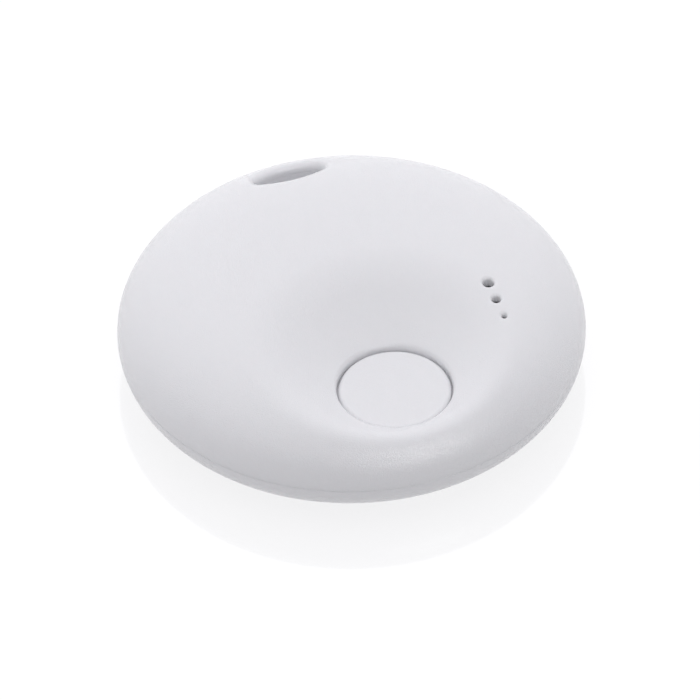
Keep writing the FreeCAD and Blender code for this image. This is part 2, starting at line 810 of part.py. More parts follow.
def make_cell_gasket():
    rim = "cell_height - cell_step"
    foot = "2 * cell_sheet"
    inner = "cell_radius - cell_sheet - cell_gasket_width"
    return turned_body("cell_gasket", [
        (inner, foot), ("cell_radius - cell_sheet", foot), ("cell_radius - cell_sheet", rim),
        (inner, rim)], z="cell_bottom")


def make_cell_cap():
    outer = "cell_radius - cell_sheet - cell_gasket_width"
    inner = "cell_radius - 2 * cell_sheet - cell_gasket_width"
    return turned_body("cell_cap", [
        ("0", "cell_height - cell_sheet"), (inner, "cell_height - cell_sheet"),
        (inner, "2 * cell_sheet"), (outer, "2 * cell_sheet"),
        (outer, "cell_height - cell_sheet"), ("%s - cell_sheet" % outer, "cell_height"),
        ("0", "cell_height")], z="cell_bottom")


def make_negative_contact():
    body = new_body("negative_contact")
    sketch = new_sketch(body, "negative_profile", "XZ_Plane")
    low = "cell_top + touch_gap"
    outline(sketch, [
        ("-contact_length / 2", "board_bottom - contact_sheet"),
        ("-contact_length / 5", "board_bottom - contact_sheet"),
        ("contact_length / 5", low), ("contact_length / 2", low),
        ("contact_length / 2", "%s + contact_sheet" % low),
        ("contact_length / 5", "%s + contact_sheet" % low),
        ("-contact_length / 5", "board_bottom"), ("-contact_length / 2", "board_bottom")])
    pad(body, "negative_strip", sketch, "contact_width", centred=True)
    return body


def make_positive_contact():
    body = new_body("positive_contact")
    sketch = new_sketch(body, "positive_profile", "XZ_Plane")
    face = "cell_radius + touch_gap"
    back = "cell_radius + touch_gap + side_contact_sheet"
    outline(sketch, [
        (face, "pocket_top + side_contact_gap"), (back, "pocket_top + side_contact_gap"),
        (back, "foot_bottom"), ("%s + side_contact_foot" % face, "foot_bottom"),
        ("%s + side_contact_foot" % face, "board_bottom"), (face, "board_bottom")])
    pad(body, "positive_strip", sketch, "side_contact_width", centred=True)
    return body


# The circuit board and what it carries

def make_circuit_board():
    body = new_body("circuit_board", z="board_bottom")
    disc = new_sketch(body, "board_disc")
    circle(disc, "board_radius")
    pad(body, "board_pad", disc, "board_thickness")
    notch = new_sketch(body, "board_notch")
    half = "slot_length / 2 + tube_wall + board_tube_gap"
    rectangle(notch, "-(%s)" % half, half,
              "slot_y - slot_width / 2 - tube_wall - board_tube_gap", "board_radius + 1")
    pocket(body, "board_notch_pocket", notch, "board_thickness", upward=True)
    holes = new_sketch(body, "board_holes")
    for x, y in post_places():
        circle(holes, "screw_radius + screw_clearance", x, y)
    pocket(body, "board_hole_pocket", holes, "board_thickness", upward=True)
    return body


def make_board_screws():
    screws = []
    for index, (x, y) in enumerate(post_places()):
        name = "screw_%d" % index
        head = cylinder(name + "_head", "screw_head_radius", "screw_head_height", x, y,
                        "board_top")
        shank = cylinder(name + "_shank", "screw_radius", "screw_length - screw_fit", x, y,
                         "board_top - screw_length + screw_fit")
        top = "board_top + screw_head_height - screw_recess_depth"
        cross = fuse(name + "_cross", [
            box(name + "_cross_x", "screw_recess_length", "screw_recess_width",
                "screw_recess_depth", x, y, top),
            box(name + "_cross_y", "screw_recess_width", "screw_recess_length",
                "screw_recess_depth", x, y, top)])
        screws.append(cut(name, fuse(name + "_blank", [head, shank]), cross))
    return group("board_screws", screws)


def make_small_parts():
    nodes = []
    for node, places in SMALL_PARTS.items():
        several = len(places) > 1
        pieces = [box("%s_%d" % (node, index) if several else node,
                      "%g" % length, "%g" % width, "%g" % height,
                      "%g" % x, "%g" % y, "board_top")
                  for index, (x, y, length, width, height) in enumerate(places)]
        nodes.append(group(node, pieces) if several else pieces[0])
    return nodes


def make_buzzer():
    centre = {"x": "buzzer_x", "y": "sound_middle", "z": "board_top"}
    roof = "buzzer_height - buzzer_wall"
    bore = "buzzer_radius - buzzer_wall"
    case = turned_body("buzzer_case", [
        (bore, "0"), ("buzzer_radius", "0"), ("buzzer_radius", "buzzer_height"),
        ("buzzer_port_radius", "buzzer_height"), ("buzzer_port_radius", roof), (bore, roof)],
        **centre)
    diaphragm = cylinder("buzzer_diaphragm", bore, "diaphragm_thickness", "buzzer_x",
                         "sound_middle", "buzzer_top - buzzer_wall - diaphragm_drop")
    core = cylinder("buzzer_core", "core_radius", "coil_height", "buzzer_x", "sound_middle",
                    "board_top")
    coil = ring("buzzer_coil", "coil_radius", "core_radius", "coil_height", "buzzer_x",
                "sound_middle", "board_top")
    return [case, diaphragm, core, coil]


def make_sound_seal():
    gasket = cut("buzzer_gasket",
                 sound_oval("gasket_outer", "mesh_radius", "buzzer_top",
                            "mesh_bottom - buzzer_top"),
                 sound_oval("gasket_inner", "sound_recess_radius", "buzzer_top",
                            "mesh_bottom - buzzer_top"))
    mesh = sound_oval("acoustic_mesh", "mesh_radius", "mesh_bottom", "mesh_thickness")
    return [gasket, mesh]


def check_document():
    """Stops the build where any object failed."""
    doc.recompute()
    for item in doc.Objects:
        if "Invalid" in item.State or "Error" in item.State:
            raise RuntimeError("%s is %s" % (item.Name, item.State))


def write_nodes(nodes):
    os.makedirs("parts", exist_ok=True)
    for item in nodes:
        item.Label = item.Name
        shape = item.Shape
        if shape.isNull() or not shape.isValid() or not shape.Solids:
            raise RuntimeError("%s has no good shape" % item.Label)
        shape.exportStep("parts/%s.step" % item.Label)
        print("%-18s %3d solid(s) %10.3f mm3" % (item.Label, len(shape.Solids), shape.Volume))


nodes = [
    make_top_shell(), make_bottom_shell(),
    make_button_cap(), make_button_pad(), make_snap_dome(),
    make_battery_door(), make_door_seal(),
    make_cell_can(), make_cell_gasket(), make_cell_cap(),
    make_negative_contact(), make_positive_contact(),
    make_circuit_board(), make_board_screws(),
]
nodes += make_small_parts() + make_buzzer() + make_sound_seal()
check_document()
write_nodes(nodes)
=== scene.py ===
"""A round bluetooth tracker tag: detailed shells, button and battery door round a fixed frame."""
import math

import bmesh
import bpy
from bpy.props import FloatProperty, FloatVectorProperty, PointerProperty
from bpy.types import Operator, Panel, PropertyGroup
from mathutils import Matrix, Vector
from mathutils.geometry import delaunay_2d_cdt


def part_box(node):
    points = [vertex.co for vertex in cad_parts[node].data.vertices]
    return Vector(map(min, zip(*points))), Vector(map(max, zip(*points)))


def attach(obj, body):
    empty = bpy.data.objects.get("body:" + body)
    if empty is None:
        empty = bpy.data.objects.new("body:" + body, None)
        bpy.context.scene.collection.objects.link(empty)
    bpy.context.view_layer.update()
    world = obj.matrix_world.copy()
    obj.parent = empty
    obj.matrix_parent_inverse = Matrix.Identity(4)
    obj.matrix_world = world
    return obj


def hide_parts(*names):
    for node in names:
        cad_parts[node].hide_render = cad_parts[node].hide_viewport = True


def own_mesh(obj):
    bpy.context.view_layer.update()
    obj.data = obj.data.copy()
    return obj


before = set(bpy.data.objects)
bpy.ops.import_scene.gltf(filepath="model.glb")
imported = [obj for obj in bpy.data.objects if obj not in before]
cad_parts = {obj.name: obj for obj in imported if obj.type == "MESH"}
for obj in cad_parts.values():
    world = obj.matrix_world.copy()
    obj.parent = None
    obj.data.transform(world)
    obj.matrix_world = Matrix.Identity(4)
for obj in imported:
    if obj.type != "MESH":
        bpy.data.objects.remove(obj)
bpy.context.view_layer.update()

bl_info = {
    "name": "Tracker tag",
    "version": (1, 0, 0),
    "blender": (4, 5, 0),
    "location": "View3D > Sidebar > Tracker tag",
    "description": "Builds a round bluetooth tracker tag round its packed frame",
    "category": "Add Mesh",
}

MM = 0.001
TURN = 2 * math.pi
SHARP_ANGLE = math.radians(35.0)


# Sizes and colours that a user would change

def length(name, description, default_mm):
    return FloatProperty(name=name, description=description, default=default_mm * MM,
                         unit="LENGTH", subtype="DISTANCE", precision=5)


def colour(name, description, default):
    return FloatVectorProperty(name=name, description=description, default=default,
                               size=3, min=0.0, max=1.0, subtype="COLOR")


def node_top(node):
    """Returns the height of a node's top in millimetres."""
    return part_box(node)[1].z / MM


def node_radius(node):
    """Returns half the width of a round node in millimetres."""
    low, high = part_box(node)
    return (high.x - low.x) / 2 / MM


class TagShape(PropertyGroup):
    body_radius: length("Body radius", "Widest radius, at the seam",
                        node_radius("bottom_shell"))
    seam_height: length("Seam height", "Height of the line where the shells meet", 3.8)
    crown_height: length("Crown height", "Height of the crown above the seam, without a dish", 6.0)
    crown_power: FloatProperty(name="Crown fullness", default=3.8, min=2.0, max=8.0,
                               description="Exponent of the crown's superellipse")
    base_round: length("Base rounding", "Width of the lower shell's rounded side", 4.8)
    wall: length("Side wall", "Thickness of the shells' sides", 1.15)
    crown_wall: length("Crown wall", "Thickness of the crown", 1.0)
    floor_wall: length("Floor", "Thickness of the lower shell's floor", 1.2)
    seam_chamfer: length("Seam edge", "Small bevel on both edges of the seam", 0.025)
    button_inset: length("Button inset", "Distance from the rim to the button's axis", 9.0)
    opening_radius: length("Opening radius", "Radius of the hole that the button sits in", 4.95)
    opening_round: length("Opening edge", "Rounding of the edge round the button", 0.3)
    dish_rise: length("Dish rise", "Height of the dish's inner edge over the button", 0.35)
    dish_slope: FloatProperty(name="Dish slope", default=math.radians(22.0), subtype="ANGLE",
                              unit="ROTATION", description="Slope of the dish's side")
    dish_blend: length("Dish blend", "How softly the dish meets the crown", 1.0)
    button_radius: length("Button radius", "Radius of the button's face", 4.8)
    button_round: length("Button edge", "Rounding of the button's edge", 0.4)
    slot_rim: length("Slot rim", "Material between the lanyard slot and the rim", 2.8)
    slot_length: length("Slot length", "Length of the lanyard slot", 6.2)
    slot_width: length("Slot width", "Width of the lanyard slot", 2.5)
    slot_end: length("Slot end", "Radius of the lanyard slot's ends", 0.75)
    slot_round: length("Slot edge", "Rounding of the lanyard slot's upper edge", 1.0)
    slot_round_below: length("Slot lower edge", "Rounding of the slot's lower edge", 0.35)
    tube_wall: length("Slot tube", "Thickness of the tube round the lanyard slot", 0.8)
    sound_inset: length("Sound inset", "Distance of the sound holes from the rim's side", 9.1)
    sound_first: length("First sound hole", "Distance of the largest hole from the middle", 4.2)
    sound_pitch: length("Sound pitch", "Spacing of the sound holes", 1.95)
    sound_round: length("Sound hole edge", "Rounding of the sound holes' edges", 0.28)


class TagFinish(PropertyGroup):
    plastic: colour("Plastic", "Colour of the shells, the button and the door",
                    (0.93, 0.927, 0.945))
    laminate: colour("Circuit board", "Colour of the board's solder mask", (0.012, 0.07, 0.035))
    rubber: colour("Seal rubber", "Colour of the door's seal", (0.02, 0.02, 0.022))
    grain: length("Grain", "Width of one grain of the plastic's texture", 0.09)


def shape_mm(name):
    """Returns one of the tag's sizes in millimetres."""
    return getattr(bpy.context.scene.tag_shape, name) / MM


# Outlines on the plan of the tag, in millimetres

class Oval:
    """A round-ended slot, or a circle where its straight sides have no length."""

    def __init__(self, x, y, radius, count, straight=0.0, along_x=True):
        self.x, self.y, self.radius, self.straight = x, y, radius, straight
        self.along = (1.0, 0.0) if along_x else (0.0, 1.0)
        self.count = count

    def loop(self, offset):
        """Returns the points of the outline moved outward by an offset."""
        ax, ay = self.along
        reach = self.radius + offset
        side_share = self.straight / (self.straight + math.pi * self.radius)
        points = []
        for step in range(self.count):
            share = (step / self.count * 2) % 1.0
            half = 1 if step * 2 < self.count else -1
            if share < side_share:
                slide, turn = self.straight * (0.5 - share / side_share), math.pi / 2
            else:
                slide = -self.straight / 2
                turn = math.pi / 2 + math.pi * (share - side_share) / (1 - side_share)
            forward = half * (slide + reach * math.cos(turn))
            sideways = half * reach * math.sin(turn)
            points.append((self.x + ax * forward - ay * sideways,
                           self.y + ay * forward + ax * sideways))
        return points

    def distance(self, x, y):
        """Returns the distance of a point outside the outline, negative inside."""
        ax, ay = self.along
        forward = (x - self.x) * ax + (y - self.y) * ay
        sideways = (y - self.y) * ax - (x - self.x) * ay
        past = max(abs(forward) - self.straight / 2, 0.0)
        return math.hypot(past, sideways) - self.radius


class Lens:
    """A slender oval of four arcs: two long sides and two small round ends."""

    def __init__(self, x, y, length, width, end, count):
        self.x, self.y, self.end, self.count = x, y, end, count
        half = width / 2
        self.reach = length / 2 - end
        self.side = (half ** 2 + self.reach ** 2 - end ** 2) / (2 * (half - end))
        self.sink = self.side - half
        self.turn = math.atan2(self.reach, self.sink)

    def quarter(self, share, offset):
        """Returns a point from the middle of a side, at share 0, to an end, at share 1."""
        side_run = self.side * self.turn
        run = share * (side_run + self.end * (math.pi / 2 - self.turn))
        if run < side_run:
            angle, radius = run / self.side, self.side + offset
            return radius * math.sin(angle), radius * math.cos(angle) - self.sink
        angle, radius = self.turn + (run - side_run) / self.end, self.end + offset
        return self.reach + radius * math.sin(angle), radius * math.cos(angle)

    def loop(self, offset):
        """Returns the points of the outline moved outward by an offset."""
        points = []
        steps = self.count // 4
        for quarter in range(4):
            for step in range(steps):
                share = step / steps
                across, up = self.quarter(1 - share if quarter % 2 == 0 else share, offset)
                points.append((self.x + across * (1, -1, -1, 1)[quarter],
                               self.y + up * (1, 1, -1, -1)[quarter]))
        return points

    def distance(self, x, y):
        """Returns the distance of a point outside the outline, negative inside."""
        across, up = abs(x - self.x), abs(y - self.y)
        if math.atan2(across - self.reach, up) > self.turn:
            return math.hypot(across - self.reach, up) - self.end
        return math.hypot(across, up + self.sink) - self.side


class Plan:
    """A flat triangulation whose edges follow chosen outlines."""

    def __init__(self):
        self.points = []
        self.edges = []
        self.kept_clear = []

    def add_loop(self, points):
        """Adds a closed outline, and returns the numbers of its points."""
        first = len(self.points)
        count = len(points)
        self.points += points
        self.edges += [(first + step, first + (step + 1) % count) for step in range(count)]
        return list(range(first, first + count))

    def add_rings(self, outline, offsets, clearance, hollow=True):
        """Adds an outline at several offsets and keeps loose points away from them."""
        rings = [self.add_loop(outline.loop(offset)) for offset in offsets]
        inward = -math.inf if hollow else min(offsets) - clearance
        self.kept_clear.append((outline, inward, max(offsets) + clearance))
        return rings

    def add_polar_points(self, x, y, radii, spacing, within):
        """Adds loose points on circles round a centre, inside a circle round the origin."""
        for row, radius in enumerate(radii):
            count = max(6, round(TURN * radius / spacing))
            for step in range(count):
                angle = TURN * (step + 0.5 * (row % 2)) / count
                spot = (x + radius * math.cos(angle), y + radius * math.sin(angle))
                clear = not any(inward < outline.distance(*spot) < outward
                                for outline, inward, outward in self.kept_clear)
                if clear and math.hypot(*spot) < within:
                    self.points.append(spot)

    def triangulate(self):
        """Fills the plan with triangles that keep to its outlines."""
        found = delaunay_2d_cdt([Vector(point) for point in self.points], self.edges, [], 0, 1e-6)
        origin = [sources[0] for sources in found[3]]
        self.faces = [tuple(origin[corner] for corner in face) for face in found[2]]
        self.middles = [tuple(sum(self.points[corner][axis] for corner in face) / 3
                              for axis in (0, 1)) for face in self.faces]


class Net:
    """Gathers the points and faces of one piece, in millimetres."""

    def __init__(self):
        self.points = []
        self.faces = []

    def add_loop(self, points):
        """Adds the points of a loop, and returns their numbers."""
        first = len(self.points)
        self.points += points
        return list(range(first, first + len(points)))

    def bridge(self, first, second):
        """Joins two closed loops of the same count with a band of faces."""
        count = len(first)
        for step in range(count):
            after = (step + 1) % count
            self.faces.append((first[step], first[after], second[after], second[step]))

    def follow(self, loop, *rows):
        """Bridges from a loop through rows of points, and returns the last loop."""
        for row in rows:
            following = self.add_loop(row)
            self.bridge(loop, following)
            loop = following
        return loop

    def cap(self, loop, x, y, height):
        """Closes a loop with a fan of faces round a middle point."""
        middle = self.add_loop([(x, y, height)])[0]
        for step, corner in enumerate(loop):
            self.faces.append((corner, loop[(step + 1) % len(loop)], middle))

    def turn_solid(self, rows, x, y, first_height, last_height):
        """Joins rows of points round an axis, and closes the first and the last."""
        start = self.add_loop(rows[0])
        self.cap(start, x, y, first_height)
        self.cap(self.follow(start, *rows[1:]), x, y, last_height)

    def sheet(self, plan, height, keep):
        """Adds the plan's faces at a height, and returns where each plan point went."""
        chosen = [face for face, middle in zip(plan.faces, plan.middles) if keep(*middle)]
        placed = {}
        for corner in sorted({corner for face in chosen for corner in face}):
            x, y = plan.points[corner]
            placed[corner] = len(self.points)
            self.points.append((x, y, height(x, y)))
        for face in chosen:
            self.faces.append(tuple(placed[corner] for corner in face))
        return placed

    def make(self, name, slot, body, replaced):
        """Makes the object, and lets it ride on its body in place of the plain node."""
        mesh = bpy.data.meshes.new(name)
        mesh.from_pydata([Vector(point) * MM for point in self.points], [], self.faces)
        made = bmesh.new()
        made.from_mesh(mesh)
        bmesh.ops.recalc_face_normals(made, faces=made.faces)
        made.to_mesh(mesh)
        made.free()
        mesh.polygons.foreach_set("use_smooth", [True] * len(mesh.polygons))
        mesh.set_sharp_from_angle(angle=SHARP_ANGLE)
        mesh.materials.append(finish_for(slot))
        piece = bpy.data.objects.new(name, mesh)
        bpy.context.scene.collection.objects.link(piece)
        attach(piece, body)
        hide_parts(replaced)
        return piece


def round_steps(radius, steps=6):
    """Returns the offsets of a quarter round, from its edge outward."""
    return [radius * (1 - math.cos(math.pi / 2 * step / steps)) for step in range(steps + 1)]


def round_drop(distance, radius):
    """Returns how far a rounded edge has fallen at a distance from it."""
    if distance >= radius:
        return 0.0
    return radius - math.sqrt(max(radius ** 2 - (radius - max(distance, 0.0)) ** 2, 0.0))


# Sizes that the pieces share with the frame and that no user would change, in millimetres,
# with angles in degrees

# Shells
RIM_RADIUS = 18.5
RIM_COUNT = 256
SEAM_GAP = 0.005
RING_STEP = 0.02
SEAT_WIDTH = 1.45
SEAT_DEPTH = 0.55
JOINT_DEPTH = 1.25
JOINT_SLOPE = 21.8
JOINT_GAP = 0.01
TUBE_GAP = 0.05
LIP_OUTER = 18.55
LIP_INNER = 17.85
LIP_INNER_AT_SLOT = 18.27
LIP_REACH = 0.8
SOUND_RADII = (0.48, 0.38, 0.23)
SOUND_RECESS_RADIUS = 1.1
SOUND_BOSS_WALL = 0.8
SOUND_ROOF = 1.4

# Battery well in the lower shell
WELL_COUNT = 288
DOOR_RING = 13.1
RECESS_RADIUS = 12.7
RECESS_DEPTH = 0.9
LEDGE_RADIUS = 11.05
LEDGE_TOP = 1.5
ENTRY_RADIUS = 12.1
GALLERY_RADIUS = 12.11
GALLERY_TOP = 2.3
BORE_RADIUS = 10.35
NOTCH_REACH = 10.7
WELL_RADIUS = 11.15
WELL_TOP = 4.15
HOUSING_RADIUS = 13.0
HOUSING_TOP = 2.9
MARK_RADIUS = 0.4
MARK_DEPTH = 0.15

# Screw posts
POST_ANGLES = (32, 148, 237)
POST_REACH = 15.4
POST_RADIUS = 1.3
POST_FOOT = 1.0
POST_TOP = 4.35
PILOT_RADIUS = 0.53
PILOT_FLOOR = 2.35

# Button, below the top of its face
FLANGE_RADIUS = 5.6
FLANGE_TOP = 0.6
FLANGE_FOOT = 1.0

# Battery door
DOOR_COUNT = 240
DOOR_THICKNESS = 0.9
DOOR_EDGE = 0.15
COIN_DEPTH = 0.45
COIN_ROUND = 0.1
GROOVE_OUTER = 12.25
GROOVE_INNER = 11.55
GROOVE_FLOOR = 0.5
SKIRT_OUTER = 10.96
SKIRT_INNER = 10.3
LUG_REACH = 11.95
LUG_FOOT = 1.55
SKIRT_TOP = 2.2


# The tag's surfaces

def smooth_lower(first, second, blend):
    """Returns the lower of two heights, with the crease between them rounded."""
    overlap = max(blend - abs(first - second), 0.0) / blend
    return min(first, second) - overlap * overlap * blend / 4


def crown_rise(distance, radius, height):
    """Returns a crown's height over its foot at a distance from the middle."""
    share = min(distance / radius, 1.0)
    return height * math.sqrt(1 - share ** bpy.context.scene.tag_shape.crown_power)


class Skin:
    """The heights of the tag's outer and inner surfaces over its plan."""

    def __init__(self):
        self.radius = shape_mm("body_radius")
        self.seam = shape_mm("seam_height")
        self.crown = shape_mm("crown_height")
        self.flat = self.radius - shape_mm("base_round")
        self.button_y = shape_mm("button_inset") - self.radius
        self.button_top = node_top("button_cap")
        self.mesh_top = node_top("acoustic_mesh")
        self.slope = math.tan(bpy.context.scene.tag_shape.dish_slope)
        self.opening = Oval(0.0, self.button_y, shape_mm("opening_radius"), 192)
        width = shape_mm("slot_width")
        slot_y = self.radius - shape_mm("slot_rim") - width / 2
        self.slot = Lens(0.0, slot_y, shape_mm("slot_length"), width, shape_mm("slot_end"), 128)
        first, pitch = shape_mm("sound_first"), shape_mm("sound_pitch")
        sound_x = self.radius - shape_mm("sound_inset")
        self.sounds = [Oval(sound_x, -first - row * pitch, radius, 40)
                       for row, radius in enumerate(SOUND_RADII)]
        self.sound_row = Oval(sound_x, -first - pitch, SOUND_RECESS_RADIUS, 72,
                              straight=2 * pitch, along_x=False)
        self.joint_height = (self.seam + crown_rise(slot_y, self.radius, self.crown)
                             - JOINT_DEPTH)

    def top(self, x, y):
        """Returns the height of the outer surface, without its rounded edges."""
        crown = self.seam + crown_rise(math.hypot(x, y), self.radius, self.crown)
        edge = self.button_top + shape_mm("dish_rise")
        dish = edge + self.opening.distance(x, y) * self.slope
        return smooth_lower(crown, dish, shape_mm("dish_blend"))

    def rounded_top(self, x, y):
        """Returns the height of the outer surface with the edges of its holes rounded."""
        height = self.top(x, y)
        height -= round_drop(self.opening.distance(x, y), shape_mm("opening_round"))
        height -= round_drop(self.slot.distance(x, y), shape_mm("slot_round"))
        for hole in self.sounds:
            height -= round_drop(hole.distance(x, y), shape_mm("sound_round"))
        return height

    def joint(self, y):
        """Returns the height of the sloping joint in the lanyard slot's wall."""
        return self.joint_height - (y - self.slot.y) * math.tan(math.radians(JOINT_SLOPE))

    def base(self, distance):
        """Returns the height of the underside at a distance from the middle."""
        share = min(max(distance - self.flat, 0.0) / (self.radius - self.flat), 1.0)
        return self.seam * (1 - math.sqrt(1 - share * share))

    def inner_top(self, x, y):
        """Returns the height of the upper shell's inner surface."""
        wall = shape_mm("crown_wall")
        crown = self.seam + crown_rise(math.hypot(x, y), self.radius - shape_mm("wall"),
                                       self.crown - wall)
        away = self.opening.distance(x, y)
        lining = self.button_top + shape_mm("dish_rise") - wall + away * self.slope
        height = smooth_lower(crown, lining, 0.3)
        if away < SEAT_WIDTH:
            height = self.button_top - SEAT_DEPTH
        if self.slot.distance(x, y) < shape_mm("tube_wall") + TUBE_GAP:
            height = self.joint(y) + JOINT_GAP / 2
        if self.sound_row.distance(x, y) < SOUND_BOSS_WALL:
            height = self.mesh_top + 0.01
        if self.sound_row.distance(x, y) < 0:
            height = self.seam + self.crown - SOUND_ROOF
        return height

    def inner_base(self, distance):
        """Returns the height of the lower shell's floor at a distance from the middle."""
        floor = shape_mm("floor_wall")
        wide = self.radius - shape_mm("wall") - self.flat
        share = min(max(distance - self.flat, 0.0) / wide, 1.0)
        return floor + (self.seam - floor) * (1 - math.sqrt(1 - share * share))


def circle(radius, height, count, x=0.0, y=0.0):
    """Returns points round an axis; the radius may be a function of the angle."""
    points = []
    for step in range(count):
        angle = TURN * step / count
        reach = radius(angle) if callable(radius) else radius
        points.append((x + reach * math.cos(angle), y + reach * math.sin(angle), height))
    return points


def turned(profile, count, x=0.0, y=0.0):
    """Returns the rows of points that a profile of radii and heights makes round an axis."""
    return [circle(reach, height, count, x, y) for reach, height in profile]


def flat_circle(radius, count):
    """Returns the points of a circle on the plan."""
    return [spot[:2] for spot in circle(radius, 0, count)]


def edges_of(step):
    """Returns two offsets close round a step in height, so that its wall stays upright."""
    return [step - RING_STEP, step + RING_STEP]


def near_angle(angle, middle, half_width):
    """Tells whether an angle lies within half a width of a middle, all in degrees."""
    return abs((angle - middle + 180) % 360 - 180) < half_width


# Pieces

def finish_hole(net, loop, upper, lower):
    """Joins the edges that one hole has in the upper and the lower sheet."""
    net.bridge([upper[corner] for corner in loop], [lower[corner] for corner in loop])


def make_top_shell():
    """Makes the domed cover with its dish, opening, slot, sound holes and lip."""
    skin = Skin()
    plan = Plan()
    plan_rim = plan.add_loop(flat_circle(RIM_RADIUS, RIM_COUNT))
    opening = plan.add_rings(
        skin.opening, round_steps(shape_mm("opening_round"))
        + [0.45, 0.65, 0.85, 1.05, 1.25] + edges_of(SEAT_WIDTH), 0.1)
    slot = plan.add_rings(
        skin.slot, sorted(round_steps(shape_mm("slot_round"), 10)[:-1]
                          + edges_of(shape_mm("tube_wall") + TUBE_GAP)), 0.15)
    sounds = [plan.add_rings(hole, round_steps(shape_mm("sound_round"), 5) + [0.36], 0.1)
              for hole in skin.sounds]
    for edge in (0.0, SOUND_BOSS_WALL):
        plan.add_rings(skin.sound_row, edges_of(edge), 0.1, hollow=False)
    crest = [6.6 + 0.17 * row for row in range(15)]
    plan.add_polar_points(0, skin.button_y, crest, 0.28, RIM_RADIUS - 0.15)
    beyond = [crest[-1] + 0.33 * row for row in range(1, 64)]
    plan.add_polar_points(0, skin.button_y, beyond, 0.36, RIM_RADIUS - 0.15)
    plan.triangulate()

    def solid(x, y):
        holes = [skin.opening, skin.slot] + skin.sounds
        return all(hole.distance(x, y) > 0 for hole in holes)

    net = Net()
    upper = net.sheet(plan, skin.rounded_top, solid)
    lower = net.sheet(plan, skin.inner_top, solid)
    for rings in [opening, slot] + sounds:
        finish_hole(net, rings[0], upper, lower)

    first_turn = math.asin(RIM_RADIUS / skin.radius)
    steps = 18
    rows = []
    for step in range(1, steps + 1):
        reach = skin.radius * math.sin(first_turn + (math.pi / 2 - first_turn) * step / steps)
        rows.append([(x, y, skin.top(x, y)) for x, y, z in circle(reach, 0, RIM_COUNT)])
    chamfer = shape_mm("seam_chamfer")
    rows[-1] = circle(skin.radius, skin.seam + chamfer, RIM_COUNT)

    def lip_inner(angle):
        """Keeps the lip clear of the tube round the lanyard slot."""
        away = abs(math.degrees(angle) - 90)
        return LIP_INNER_AT_SLOT - (LIP_INNER_AT_SLOT - LIP_INNER) * min(max(away - 13, 0) / 5, 1)

    inner_wall = skin.radius - shape_mm("wall")
    foot, low, high = skin.seam + SEAM_GAP / 2, skin.seam - LIP_REACH, skin.seam + LIP_REACH
    rows += turned([(skin.radius - chamfer, foot), (LIP_OUTER, foot), (LIP_OUTER, low),
                    (lip_inner, low), (lip_inner, high), (inner_wall, high)], RIM_COUNT)
    last_turn = math.asin(RIM_RADIUS / inner_wall)
    for step in (0.7, 0.4, 0.2):
        reach = inner_wall * math.sin(last_turn + (math.pi / 2 - last_turn) * step)
        rows.append([(x, y, max(skin.inner_top(x, y), high + 0.05))
                     for x, y, z in circle(reach, 0, RIM_COUNT)])
    last = net.follow([upper[corner] for corner in plan_rim], *rows)
    net.bridge(last, [lower[corner] for corner in plan_rim])
    return net.make("top_shell_skin", "shell_plastic", "case", "top_shell")


